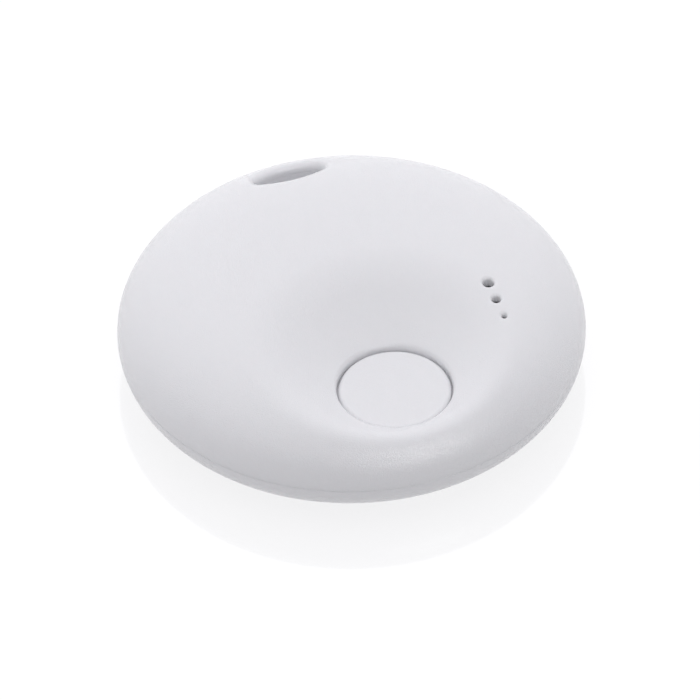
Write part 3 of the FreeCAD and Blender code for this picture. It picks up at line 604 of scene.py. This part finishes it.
def make_bottom_shell():
    """Makes the tray with the slot's tube, the battery well and the screw posts."""
    skin = Skin()
    plan = Plan()
    plan_rim = plan.add_loop(flat_circle(RIM_RADIUS, RIM_COUNT))
    middle = plan.add_loop(flat_circle(DOOR_RING, WELL_COUNT))
    tube_wall = shape_mm("tube_wall")
    slot_edge = shape_mm("slot_round_below")
    slot = plan.add_rings(skin.slot, round_steps(slot_edge) + [0.55, tube_wall], 0.15)
    mark_reach = DOOR_RING + 2 * MARK_RADIUS
    marks = [Oval(mark_reach * math.cos(turn), mark_reach * math.sin(turn), MARK_RADIUS, 28)
             for turn in (math.radians(-90), math.radians(-120))]
    for mark in marks:
        plan.add_rings(mark, [-0.1, -0.03, 0.0], 0.12)
    plan.add_polar_points(0, 0, [13.4 + 0.36 * row for row in range(14)], 0.4, RIM_RADIUS - 0.15)
    plan.triangulate()

    def underside(x, y):
        height = skin.base(math.hypot(x, y))
        height += round_drop(skin.slot.distance(x, y), slot_edge)
        if any(mark.distance(x, y) < -0.05 for mark in marks):
            height += MARK_DEPTH
        return height

    def floor(x, y):
        return skin.inner_base(math.hypot(x, y))

    net = Net()
    under = net.sheet(plan, underside, lambda x, y: math.hypot(x, y) > DOOR_RING
                      and skin.slot.distance(x, y) > 0)
    over = net.sheet(plan, floor, lambda x, y: math.hypot(x, y) > DOOR_RING
                     and skin.slot.distance(x, y) > tube_wall)

    top = -JOINT_GAP / 2
    tube_rows = [[(x, y, skin.joint(y) + lift) for x, y in skin.slot.loop(offset)]
                 for offset, lift in ((0.0, top - RING_STEP), (RING_STEP, top), (tube_wall, top))]
    last = net.follow([under[corner] for corner in slot[0]], *tube_rows)
    net.bridge(last, [over[corner] for corner in slot[-1]])

    first_turn = math.asin((RIM_RADIUS - skin.flat) / (skin.radius - skin.flat))
    steps = 16
    rows = []
    for step in range(1, steps + 1):
        turn = first_turn + (math.pi / 2 - first_turn) * step / steps
        reach = skin.flat + (skin.radius - skin.flat) * math.sin(turn)
        rows.append(circle(reach, skin.base(reach), RIM_COUNT))
    chamfer = shape_mm("seam_chamfer")
    brim = skin.seam - SEAM_GAP / 2
    inner_wall = skin.radius - shape_mm("wall")
    rows[-1] = circle(skin.radius, skin.seam - chamfer, RIM_COUNT)
    rows += [circle(skin.radius - chamfer, brim, RIM_COUNT), circle(inner_wall, brim, RIM_COUNT)]
    rows += [circle(reach, skin.inner_base(reach), RIM_COUNT)
             for reach in (inner_wall - 0.01, inner_wall - 0.06, inner_wall - 0.15,
                           inner_wall - 0.25)]
    last = net.follow([under[corner] for corner in plan_rim], *rows)
    net.bridge(last, [over[corner] for corner in plan_rim])

    def ledge(angle):
        """Opens the ledge where the door's lugs go in."""
        entry = any(near_angle(math.degrees(angle), lug * 120 - 30, 13.5) for lug in range(3))
        return ENTRY_RADIUS if entry else LEDGE_RADIUS

    def bore(angle):
        """Leaves a notch in the cell's well for the side contact."""
        notch = near_angle(math.degrees(angle), 0, 9.3)
        return NOTCH_REACH / math.cos(angle) if notch else BORE_RADIUS

    profile = [(RECESS_RADIUS + 0.12, 0), (RECESS_RADIUS + 0.04, 0.03), (RECESS_RADIUS, 0.12),
               (RECESS_RADIUS, RECESS_DEPTH), (ledge, RECESS_DEPTH), (ledge, LEDGE_TOP),
               (GALLERY_RADIUS, LEDGE_TOP), (GALLERY_RADIUS, GALLERY_TOP), (bore, GALLERY_TOP),
               (bore, WELL_TOP), (WELL_RADIUS, WELL_TOP), (WELL_RADIUS, HOUSING_TOP),
               (HOUSING_RADIUS, HOUSING_TOP), (HOUSING_RADIUS, shape_mm("floor_wall") + 0.05)]
    last = net.follow([under[corner] for corner in middle], *turned(profile, WELL_COUNT))
    net.bridge(last, [over[corner] for corner in middle])

    profile = [(POST_RADIUS, POST_FOOT), (POST_RADIUS, POST_TOP - 0.05),
               (POST_RADIUS - 0.05, POST_TOP), (PILOT_RADIUS + 0.07, POST_TOP),
               (PILOT_RADIUS, POST_TOP - 0.07), (PILOT_RADIUS, PILOT_FLOOR)]
    for angle in POST_ANGLES:
        x = POST_REACH * math.cos(math.radians(angle))
        y = POST_REACH * math.sin(math.radians(angle))
        net.turn_solid(turned(profile, 32, x, y), x, y, POST_FOOT, PILOT_FLOOR)
    return net.make("bottom_shell_skin", "shell_plastic", "case", "bottom_shell")


def make_button():
    """Makes the round cap and the flange that keeps it under the cover."""
    skin = Skin()
    radius, edge = shape_mm("button_radius"), shape_mm("button_round")
    top = skin.button_top
    centre = (0.0, skin.button_y)
    count = 160
    profile = [(1.6, top), (3.2, top)]
    profile += [(radius - edge + edge * math.sin(math.pi / 2 * step / 8),
                 top - edge + edge * math.cos(math.pi / 2 * step / 8)) for step in range(9)]
    ledge, foot = top - FLANGE_TOP, top - FLANGE_FOOT
    profile += [(radius, ledge + 0.02), (radius + 0.02, ledge), (FLANGE_RADIUS - 0.05, ledge),
                (FLANGE_RADIUS, ledge - 0.05), (FLANGE_RADIUS, foot + 0.05),
                (FLANGE_RADIUS - 0.05, foot), (2.0, foot)]
    net = Net()
    net.turn_solid(turned(profile, count, *centre), *centre, top, foot)
    return net.make("button_face", "button_plastic", "button", "button_cap")


def make_door():
    """Makes the door with its coin slot, seal groove and bayonet skirt."""
    radius = node_radius("battery_door")
    flat = radius - DOOR_EDGE
    coin = Oval(0, 0, 0.75, 96, straight=9.5)
    mark = Oval(0, 3 * MARK_RADIUS - radius, MARK_RADIUS, 28)
    plan = Plan()
    plan_rim = plan.add_loop(flat_circle(flat, DOOR_COUNT))
    plan.add_rings(coin, [-0.03] + round_steps(COIN_ROUND, 4), 0.12)
    plan.add_rings(mark, [-0.1, -0.03, 0.0], 0.12)
    plan.add_polar_points(0, 0, [0.6 * row for row in range(2, 21)], 0.6, flat - 0.2)
    plan.triangulate()

    def underside(x, y):
        if coin.distance(x, y) < -0.02:
            return COIN_DEPTH
        if mark.distance(x, y) < -0.05:
            return MARK_DEPTH
        return round_drop(coin.distance(x, y), COIN_ROUND)

    def skirt(angle):
        """Gives the skirt its bayonet lugs."""
        lug = any(near_angle(math.degrees(angle), lug * 120, 11) for lug in range(3))
        return LUG_REACH if lug else SKIRT_OUTER

    net = Net()
    under = net.sheet(plan, underside, lambda x, y: True)
    profile = [(flat + DOOR_EDGE * math.sin(math.pi / 2 * step / 5),
                DOOR_EDGE - DOOR_EDGE * math.cos(math.pi / 2 * step / 5)) for step in range(1, 6)]
    profile += [(radius, DOOR_THICKNESS - 0.05), (radius - 0.05, DOOR_THICKNESS),
                (GROOVE_OUTER, DOOR_THICKNESS), (GROOVE_OUTER, GROOVE_FLOOR),
                (GROOVE_INNER, GROOVE_FLOOR), (GROOVE_INNER, DOOR_THICKNESS),
                (SKIRT_OUTER - 0.01, DOOR_THICKNESS), (SKIRT_OUTER - 0.01, LUG_FOOT),
                (skirt, LUG_FOOT), (skirt, SKIRT_TOP - 0.05),
                (lambda angle: skirt(angle) - 0.05, SKIRT_TOP), (SKIRT_INNER + 0.05, SKIRT_TOP),
                (SKIRT_INNER, SKIRT_TOP - 0.05), (SKIRT_INNER, DOOR_THICKNESS),
                (6.0, DOOR_THICKNESS)]
    last = net.follow([under[corner] for corner in plan_rim], *turned(profile, DOOR_COUNT))
    net.cap(last, 0, 0, DOOR_THICKNESS)
    return net.make("door_disc", "door_plastic", "door", "battery_door")


def make_snap_dome():
    """Makes the four-legged metal dome that sits under the button."""
    skin = Skin()
    radius, height, sheet = 3.0, 0.27, 0.06
    foot = node_top("circuit_board")
    sphere = (radius ** 2 + height ** 2) / (2 * height)
    count = 96

    def row(share, lift):
        """Returns points round the dome, whose four legs reach further than its sides."""
        points = []
        for step in range(count):
            angle = TURN * step / count
            reach = share * (radius - 0.24 * (1 - math.cos(4 * angle)))
            rise = math.sqrt(sphere ** 2 - reach ** 2) - sphere + height
            points.append((reach * math.cos(angle), skin.button_y + reach * math.sin(angle),
                           foot + max(rise + lift, 0.0)))
        return points

    net = Net()
    shares = [step / 14 for step in range(1, 15)]
    rows = [row(share, 0.0) for share in shares] + [row(share, -sheet) for share in shares[::-1]]
    net.turn_solid(rows, 0.0, skin.button_y, foot + height, foot + height - sheet)
    dome = net.make("snap_dome_sheet", "spring_steel", "case", "snap_dome")
    skin.button_y * MM
    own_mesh(dome)
    return dome


# Materials

class Value:
    """A number in a shader; Python's operators on it add Math nodes."""

    def __init__(self, nodes, socket):
        self.nodes = nodes
        self.socket = socket

    def __add__(self, other):
        return self.nodes.maths("ADD", self, other)

    def __radd__(self, other):
        return self.nodes.maths("ADD", other, self)

    def __sub__(self, other):
        return self.nodes.maths("SUBTRACT", self, other)

    def __rsub__(self, other):
        return self.nodes.maths("SUBTRACT", other, self)

    def __mul__(self, other):
        return self.nodes.maths("MULTIPLY", self, other)

    def __rmul__(self, other):
        return self.nodes.maths("MULTIPLY", other, self)

    def __truediv__(self, other):
        return self.nodes.maths("DIVIDE", self, other)

    def __rtruediv__(self, other):
        return self.nodes.maths("DIVIDE", other, self)

    def __pow__(self, other):
        return self.nodes.maths("POWER", self, other)

    def __lt__(self, other):
        return self.nodes.maths("LESS_THAN", self, other)

    def __gt__(self, other):
        return self.nodes.maths("GREATER_THAN", self, other)


class Nodes:
    """Adds nodes to one shader tree."""

    def __init__(self, tree, shader):
        self.tree = tree
        self.shader = tree.nodes[shader]

    def node(self, kind, settings=None, values=None, output=0):
        """Adds a node with its settings and its sockets' values or links; returns an output."""
        made = self.tree.nodes.new(kind)
        for name, setting in (settings or {}).items():
            setattr(made, name, setting)
        for name, value in (values or {}).items():
            if isinstance(value, Value):
                self.tree.links.new(value.socket, made.inputs[name])
            else:
                made.inputs[name].default_value = value
        return Value(self, made.outputs[output])

    def maths(self, operation, *inputs):
        return self.node("ShaderNodeMath", {"operation": operation}, dict(enumerate(inputs)))

    def split(self, vector):
        """Returns a vector's three parts as numbers."""
        parts = self.node("ShaderNodeSeparateXYZ", None, {0: vector}).socket.node
        return [Value(self, parts.outputs[axis]) for axis in "XYZ"]

    def spread(self, value, low, high, to_low=0.0, to_high=1.0):
        """Maps a range of a value to another range, and stops at its ends."""
        return self.node("ShaderNodeMapRange", None, {0: value, 1: low, 2: high, 3: to_low,
                                                      4: to_high})

    def mix(self, share, first, second):
        """Blends two colours."""
        return self.node("ShaderNodeMix", {"data_type": "RGBA"},
                         {0: share, 6: full(first), 7: full(second)}, output=2)

    def feed(self, **sockets):
        """Links values to the shader's sockets."""
        for name, value in sockets.items():
            self.tree.links.new(value.socket, self.shader.inputs[name.replace("_", " ")])


class Paint(Nodes):
    """A procedural material: its shader, and the nodes that vary it over the surface."""

    def __init__(self, name, **constants):
        self.material = bpy.data.materials.new(name)
        self.material.use_nodes = True
        super().__init__(self.material.node_tree, "Principled BSDF")
        for socket, value in constants.items():
            self.shader.inputs[socket.replace("_", " ")].default_value = value
        where = self.node("ShaderNodeTexCoord", output="Object")
        self.place = self.node("ShaderNodeVectorMath", {"operation": "SCALE"},
                               {0: where, "Scale": 1 / MM})

    def stretched(self, x, y, z):
        """Returns the place with its parts scaled, which draws a pattern out along an axis."""
        return self.node("ShaderNodeVectorMath", {"operation": "MULTIPLY"},
                         {0: self.place, 1: (x, y, z)})

    def joined(self, x, y, z):
        return self.node("ShaderNodeCombineXYZ", None, {0: x, 1: y, 2: z})

    def noise(self, width, detail=2.0, roughness=0.5, place=None):
        """Returns noise whose blotches are about so many millimetres wide."""
        return self.node("ShaderNodeTexNoise", None,
                         {"Vector": place or self.place, "Scale": 1 / width, "Detail": detail,
                          "Roughness": roughness})

    def cells(self, width, feature="F1"):
        """Returns the distance to the middle of the nearest of many small cells."""
        return self.node("ShaderNodeTexVoronoi", {"feature": feature},
                         {"Vector": self.place, "Scale": 1 / width}, output="Distance")

    def bump(self, height, depth):
        """Raises the surface by up to a depth in millimetres where the height is 1."""
        self.feed(Normal=self.node("ShaderNodeBump", None, {"Strength": 1.0, "Height": height,
                                                            "Distance": depth * MM}))


def full(tint):
    """Adds the alpha that a colour socket wants, unless the colour is a link."""
    return tint if isinstance(tint, Value) else (*tint[:3], 1.0)


def shade(tint, share):
    """Returns a colour darkened or lightened by a share."""
    return tuple(part * share for part in tint)


def moulded_plastic():
    """White plastic from a spark-eroded mould: a fine grain over the whole surface."""
    finish = bpy.context.scene.tag_finish
    tint = tuple(finish.plastic)
    paint = Paint("moulded_plastic", IOR=1.46, Subsurface_Weight=0.5,
                  Subsurface_Radius=(1.0, 0.95, 0.95), Subsurface_Scale=0.25 * MM)
    grain = paint.noise(finish.grain / MM, detail=1.0, roughness=0.6)
    flow = paint.noise(7.0, detail=3.0)
    paint.feed(Base_Color=paint.mix(0.6 * flow + 0.4 * grain, shade(tint, 0.975), tint),
               Roughness=0.19 + 0.08 * grain + 0.04 * flow)
    paint.bump(grain, 0.036)
    return paint.material


def silicone():
    """Soft translucent rubber with a dull, slightly dusty face."""
    paint = Paint("silicone_rubber", IOR=1.41, Subsurface_Weight=0.35)
    dust = paint.noise(0.25, detail=4.0, roughness=0.7)
    paint.feed(Base_Color=paint.mix(dust, (0.55, 0.56, 0.58), (0.66, 0.67, 0.69)),
               Roughness=0.55 + 0.2 * dust)
    paint.bump(paint.noise(0.08), 0.004)
    return paint.material


def seal_rubber():
    """Black moulded rubber, paler where it has picked up dust."""
    paint = Paint("seal_rubber", IOR=1.52)
    dust = paint.noise(0.5, detail=6.0, roughness=0.7)
    tint = tuple(bpy.context.scene.tag_finish.rubber)
    paint.feed(Base_Color=paint.mix(paint.spread(dust, 0.45, 0.8), tint, (0.09, 0.09, 0.095)),
               Roughness=0.55 + 0.3 * dust)
    paint.bump(paint.noise(0.06, detail=3.0), 0.006)
    return paint.material


def foam():
    """Closed-cell foam, whose cut cells show as small pits with painted shade in them."""
    paint = Paint("gasket_foam", IOR=1.45)
    pits = paint.cells(0.16, feature="SMOOTH_F1")
    # Painted shade: the colour darkens towards the middle of each pit, where the bump sinks.
    paint.feed(Base_Color=paint.mix(pits, (0.014, 0.014, 0.016), (0.075, 0.075, 0.08)),
               Roughness=0.8 + 0.2 * pits)
    paint.bump(pits, 0.05)
    return paint.material


def woven_mesh():
    """Fine grey cloth: threads that pass over and under each other, with painted shade between
    them.
    """
    paint = Paint("acoustic_cloth", IOR=1.5)
    x, y, _ = paint.split(paint.place)
    pitch = 0.16
    across = paint.maths("SINE", x * (TURN / pitch))
    along = paint.maths("SINE", y * (TURN / pitch))
    over = paint.maths("ABSOLUTE", across) * paint.maths("ABSOLUTE", along)
    crossing = paint.maths("SINE", (x + y) * (TURN / pitch / 2))
    height = over + 0.35 * crossing
    # Painted shade: the colour darkens where the threads dip, between the raised crossings.
    paint.feed(Base_Color=paint.mix(over, (0.06, 0.06, 0.065), (0.32, 0.32, 0.33)),
               Roughness=0.6 + 0.25 * over)
    paint.bump(height, 0.03)
    return paint.material


def spring_steel():
    """Bright rolled strip with the fine lines of the rolls."""
    paint = Paint("spring_steel", Metallic=1.0)
    lines = paint.noise(0.08, detail=4.0, place=paint.stretched(0.03, 1.0, 1.0))
    stain = paint.noise(1.8, detail=3.0)
    paint.feed(Base_Color=paint.mix(stain, (0.58, 0.56, 0.52), (0.72, 0.71, 0.68)),
               Roughness=0.2 + 0.22 * lines + 0.05 * stain)
    paint.bump(lines, 0.002)
    return paint.material


def cell_steel():
    """Nickel-plated steel of the coin cell, turned in fine rings and scuffed by handling."""
    paint = Paint("cell_steel", Metallic=1.0)
    x, y, z = paint.split(paint.place)
    reach = (x * x + y * y) ** 0.5
    rings = paint.noise(0.12, detail=3.0, place=paint.joined(reach, z, 0.0))
    scuffs = paint.noise(0.3, detail=5.0, roughness=0.7, place=paint.stretched(0.15, 1.0, 1.0))
    wear = paint.spread(scuffs, 0.56, 0.66)
    paint.feed(Base_Color=paint.mix(rings, (0.62, 0.61, 0.59), (0.76, 0.755, 0.74)),
               Roughness=0.2 + 0.12 * rings + 0.16 * wear)
    paint.bump(rings + 0.6 * wear, 0.0025)
    return paint.material


def cell_gasket():
    """Dark nylon seal of the coin cell, slightly glossy with a faint draw texture."""
    paint = Paint("cell_nylon", IOR=1.53)
    draw = paint.noise(0.2, detail=4.0, place=paint.stretched(1.0, 1.0, 0.1))
    paint.feed(Base_Color=paint.mix(draw, (0.017, 0.018, 0.022), (0.034, 0.035, 0.04)),
               Roughness=0.32 + 0.2 * draw)
    paint.bump(draw, 0.006)
    return paint.material


def circuit_laminate():
    """Green solder mask over copper tracks, with bare rings round the plated holes and painted
    shade inside the holes.
    """
    mask = tuple(bpy.context.scene.tag_finish.laminate)
    paint = Paint("circuit_laminate", IOR=1.5, Coat_Roughness=0.12)
    x, y, z = paint.split(paint.place)
    patch = 3.4
    rows = paint.maths("FLOOR", x / patch)
    columns = paint.maths("FLOOR", y / patch)
    chance = paint.node("ShaderNodeTexWhiteNoise", {"noise_dimensions": "2D"},
                        {"Vector": paint.joined(rows, columns, 0.0)})
    turned = chance > 0.5
    lane = turned * x + (1 - turned) * y
    pitch = 0.62
    away = paint.maths("PINGPONG", lane, pitch / 2)
    tracks = paint.spread(away, 0.07, 0.11, 1.0, 0.0) * (chance > 0.18)
    vias = paint.cells(1.7)
    ring = paint.spread(vias, 0.07, 0.09, 1.0, 0.0)
    hole = paint.spread(vias, 0.03, 0.04, 1.0, 0.0)
    fibre = paint.noise(0.25, detail=3.0, place=paint.stretched(0.2, 1.0, 1.0))
    green = paint.mix(fibre, shade(mask, 0.85), shade(mask, 1.1))
    tracked = paint.mix(tracks, green, shade(mask, 2.1))
    plated = paint.mix(ring, tracked, (0.72, 0.5, 0.2))
    # Painted shade: near-black colour fills each plated hole, which is flat in the mesh.
    paint.feed(Base_Color=paint.mix(hole, plated, (0.01, 0.01, 0.01)),
               Metallic=ring * (1 - hole), Roughness=0.3 + 0.1 * fibre,
               Coat_Weight=0.4 * (1 - ring))
    paint.bump(tracks + 0.2 * fibre, 0.018)
    return paint.material


def chip_plastic():
    """Black moulding compound: dull, with a sandy skin and paler ejector dots."""
    paint = Paint("chip_compound", IOR=1.55)
    sand = paint.noise(0.05, detail=4.0, roughness=0.7)
    dots = paint.spread(paint.cells(1.9), 0.08, 0.1, 1.0, 0.0)
    paint.feed(Base_Color=paint.mix(sand, (0.012, 0.012, 0.013), (0.035, 0.035, 0.037)),
               Roughness=0.5 + 0.25 * sand - 0.3 * dots)
    paint.bump(sand - 0.4 * dots, 0.008)
    return paint.material


def sintered_ceramic():
    """Tan ceramic with fired speckles."""
    paint = Paint("sintered_ceramic", IOR=1.6)
    speckle = paint.noise(0.06, detail=5.0, roughness=0.75)
    fired = paint.noise(0.8)
    tone = paint.mix(speckle, (0.26, 0.18, 0.1), (0.46, 0.35, 0.22))
    paint.feed(Base_Color=paint.mix(fired * 0.3, tone, (0.3, 0.24, 0.17)),
               Roughness=0.4 + 0.25 * speckle)
    paint.bump(speckle, 0.005)
    return paint.material


def crystal_metal():
    """Satin nickel lid with a seam-welded edge's heat tint."""
    paint = Paint("crystal_lid", Metallic=1.0)
    brush = paint.noise(0.04, detail=4.0, place=paint.stretched(1.0, 0.05, 1.0))
    tint = paint.noise(0.7)
    paint.feed(Base_Color=paint.mix(tint, (0.66, 0.63, 0.57), (0.78, 0.77, 0.75)),
               Roughness=0.24 + 0.2 * brush)
    paint.bump(brush, 0.002)
    return paint.material


def screw_steel():
    """Zinc-plated steel, turned in fine rings with a bluish cast."""
    paint = Paint("screw_zinc", Metallic=1.0)
    turned = paint.noise(0.04, detail=3.0, place=paint.stretched(1.0, 1.0, 4.0))
    cast = paint.noise(0.9, detail=3.0)
    paint.feed(Base_Color=paint.mix(cast, (0.5, 0.51, 0.55), (0.66, 0.66, 0.67)),
               Roughness=0.26 + 0.2 * turned)
    paint.bump(turned, 0.003)
    return paint.material


def wound_copper():
    """Enamelled wire wound in even turns round the coil's axis, with painted shade between the
    turns.
    """
    paint = Paint("wound_copper", Metallic=1.0)
    low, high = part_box("buzzer_coil")
    x, y, z = paint.split(paint.place)
    dx = x - (low.x + high.x) / 2 / MM
    dy = y - (low.y + high.y) / 2 / MM
    reach = (dx * dx + dy * dy) ** 0.5
    wire = 0.09
    turns = paint.maths("ABSOLUTE", paint.maths("SINE", (reach + z) * (math.pi / wire)))
    drift = paint.noise(0.6, detail=3.0)
    # Painted shade: the colour darkens in the grooves between the turns.
    paint.feed(Base_Color=paint.mix(turns, (0.2, 0.07, 0.025), (0.78, 0.36, 0.17)),
               Roughness=0.22 + 0.15 * drift)
    paint.bump(turns, 0.03)
    return paint.material


FINISHES = {
    "shell_plastic": moulded_plastic, "button_plastic": moulded_plastic,
    "door_plastic": moulded_plastic, "silicone": silicone, "seal_rubber": seal_rubber,
    "spring_steel": spring_steel, "cell_steel": cell_steel, "cell_gasket_plastic": cell_gasket,
    "board_laminate": circuit_laminate, "screw_steel": screw_steel,
    "chip_plastic": chip_plastic, "part_ceramic": sintered_ceramic,
    "crystal_metal": crystal_metal, "coil_copper": wound_copper, "gasket_foam": foam,
    "mesh_cloth": woven_mesh,
}
MADE = {}


def finish_for(slot):
    """Returns the material for one of the record's slots, made once."""
    maker = FINISHES[slot]
    if maker not in MADE:
        MADE[maker] = maker()
    return MADE[maker]


def dress(slot, *nodes):
    """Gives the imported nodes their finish."""
    for node in nodes:
        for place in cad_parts[node].material_slots:
            place.material = finish_for(slot)


# Stage

def add_area_light(name, power, width, place, target):
    """Adds a square soft light that faces a target."""
    light = bpy.data.lights.new(name, "AREA")
    light.energy, light.size = power, width
    lamp = bpy.data.objects.new(name, light)
    lamp.location = place
    lamp.rotation_euler = (Vector(place) - Vector(target)).to_track_quat("Z", "Y").to_euler()
    bpy.context.scene.collection.objects.link(lamp)
    return lamp


def add_camera(azimuth, elevation, roll, distance, lens, shift_right, shift_up):
    """Looks at the origin from an azimuth and an elevation, and slides within the view plane."""
    turn, rise = math.radians(azimuth), math.radians(elevation)
    back = Vector((math.sin(turn) * math.cos(rise), -math.cos(turn) * math.cos(rise),
                   math.sin(rise)))
    right = Vector((math.cos(turn), math.sin(turn), 0))
    up = back.cross(right)
    camera = bpy.data.objects.new("camera", bpy.data.cameras.new("camera"))
    camera.data.lens = lens
    camera.data.clip_end = 20
    look = Matrix((right, up, back)).transposed() @ Matrix.Rotation(math.radians(roll), 3, "Z")
    camera.matrix_world = look.to_4x4()
    camera.location = back * distance + right * shift_right * MM + up * shift_up * MM
    bpy.context.scene.collection.objects.link(camera)
    bpy.context.scene.camera = camera


def glossy_floor():
    """White acrylic sheet, lit from below, with a faint mirror reflection."""
    paint = Paint("floor_acrylic", IOR=1.9, Emission_Color=(1.0, 1.0, 1.0, 1.0),
                  Emission_Strength=0.70)
    haze = paint.noise(30.0, detail=2.0)
    paint.feed(Base_Color=paint.mix(haze, (0.27, 0.27, 0.27), (0.28, 0.28, 0.28)),
               Roughness=0.03 + 0.01 * haze)
    return paint.material


def make_floor():
    reach = 4.0
    mesh = bpy.data.meshes.new("floor")
    mesh.from_pydata([(-reach, -reach, 0), (reach, -reach, 0), (reach, reach, 0),
                      (-reach, reach, 0)], [], [(0, 1, 2, 3)])
    mesh.materials.append(glossy_floor())
    floor = bpy.data.objects.new("floor", mesh)
    bpy.context.scene.collection.objects.link(floor)
    floor.visible_diffuse = False
    floor.visible_shadow = False


def light_world(brightest, low, high, below):
    """Surrounds the scene with soft light that grows towards its brightest direction."""
    world = bpy.data.worlds.new("studio")
    world.use_nodes = True
    sky = Nodes(world.node_tree, "Background")
    sky.shader.inputs["Color"].default_value = (0.985, 0.982, 1.02, 1.0)
    direction = sky.node("ShaderNodeTexCoord", output="Generated")
    facing = sky.node("ShaderNodeVectorMath", {"operation": "DOT_PRODUCT"},
                      {0: direction, 1: Vector(brightest).normalized()}, output="Value")
    height = sky.split(direction)[2]
    above = sky.spread(facing, -0.12, 1.0, low, high)
    under = sky.spread(height, -0.02, -0.12)
    sky.feed(Strength=above + under * (below - above))
    bpy.context.scene.world = world


# Operators

class TAG_OT_shells(Operator):
    """Build the two shells with their holes, edges and inner walls"""
    bl_idname = "tag.shells"
    bl_label = "Shells"

    def execute(self, context):
        make_top_shell()
        make_bottom_shell()
        return {"FINISHED"}


class TAG_OT_button(Operator):
    """Build the push button, and give its silicone pad a finish"""
    bl_idname = "tag.button"
    bl_label = "Button"

    def execute(self, context):
        make_button()
        dress("silicone", "button_pad")
        return {"FINISHED"}


class TAG_OT_snap_dome(Operator):
    """Build the snap dome that sits under the button"""
    bl_idname = "tag.snap_dome"
    bl_label = "Snap dome"

    def execute(self, context):
        make_snap_dome()
        return {"FINISHED"}


class TAG_OT_door(Operator):
    """Build the battery door, and give its seal a finish"""
    bl_idname = "tag.door"
    bl_label = "Battery door"

    def execute(self, context):
        make_door()
        dress("seal_rubber", "door_seal")
        return {"FINISHED"}


class TAG_OT_cell(Operator):
    """Give the coin cell and its contacts their finishes"""
    bl_idname = "tag.cell"
    bl_label = "Coin cell"

    def execute(self, context):
        dress("cell_steel", "cell_can", "cell_cap")
        dress("cell_gasket_plastic", "cell_gasket")
        dress("spring_steel", "negative_contact", "positive_contact")
        return {"FINISHED"}


class TAG_OT_board(Operator):
    """Give the circuit board and what it carries their finishes"""
    bl_idname = "tag.board"
    bl_label = "Circuit board"

    def execute(self, context):
        dress("board_laminate", "circuit_board")
        dress("screw_steel", "board_screws")
        dress("chip_plastic", "radio_chip", "motion_sensor", "power_inductor")
        dress("part_ceramic", "chip_antenna", "capacitors")
        dress("crystal_metal", "crystals")
        return {"FINISHED"}


class TAG_OT_buzzer(Operator):
    """Give the buzzer and its sound path their finishes"""
    bl_idname = "tag.buzzer"
    bl_label = "Buzzer"

    def execute(self, context):
        dress("chip_plastic", "buzzer_case")
        dress("spring_steel", "buzzer_diaphragm", "buzzer_core")
        dress("coil_copper", "buzzer_coil")
        dress("gasket_foam", "buzzer_gasket")
        dress("mesh_cloth", "acoustic_mesh")
        return {"FINISHED"}


class TAG_OT_stage(Operator):
    """Add the floor, the studio light and the camera"""
    bl_idname = "tag.stage"
    bl_label = "Stage"

    def execute(self, context):
        make_floor()
        light_world(brightest=(0.1, 0.6, 0.8), low=0.44, high=1.15, below=0.55)
        glint = add_area_light("softbox_front", 3.6, 0.12, (0.16, -0.63, 0.46), (0, 0, 0))
        glint.visible_diffuse = False
        add_camera(azimuth=-19.0, elevation=43.6, roll=-0.87, distance=0.88, lens=528.7,
                   shift_right=-0.157, shift_up=0.873)
        context.scene.view_settings.view_transform = "Standard"
        return {"FINISHED"}


class TAG_PT_panel(Panel):
    """Lists the pieces of the tag"""
    bl_label = "Tracker tag"
    bl_idname = "TAG_PT_panel"
    bl_space_type = "VIEW_3D"
    bl_region_type = "UI"
    bl_category = "Tracker tag"

    def draw(self, context):
        for operator in OPERATORS:
            self.layout.operator(operator.bl_idname)
        for group in (context.scene.tag_shape, context.scene.tag_finish):
            for name in group.__annotations__:
                self.layout.prop(group, name)


OPERATORS = (TAG_OT_shells, TAG_OT_button, TAG_OT_snap_dome, TAG_OT_door, TAG_OT_cell,
             TAG_OT_board, TAG_OT_buzzer, TAG_OT_stage)
CLASSES = (TagShape, TagFinish, *OPERATORS, TAG_PT_panel)


def register():
    for kind in CLASSES:
        bpy.utils.register_class(kind)
    bpy.types.Scene.tag_shape = PointerProperty(type=TagShape)
    bpy.types.Scene.tag_finish = PointerProperty(type=TagFinish)


def unregister():
    del bpy.types.Scene.tag_finish
    del bpy.types.Scene.tag_shape
    for kind in reversed(CLASSES):
        bpy.utils.unregister_class(kind)


def main():
    register()
    bpy.ops.tag.shells()
    bpy.ops.tag.button()
    bpy.ops.tag.snap_dome()
    bpy.ops.tag.door()
    bpy.ops.tag.cell()
    bpy.ops.tag.board()
    bpy.ops.tag.buzzer()
    bpy.ops.tag.stage()


if __name__ == "__main__":
    main()
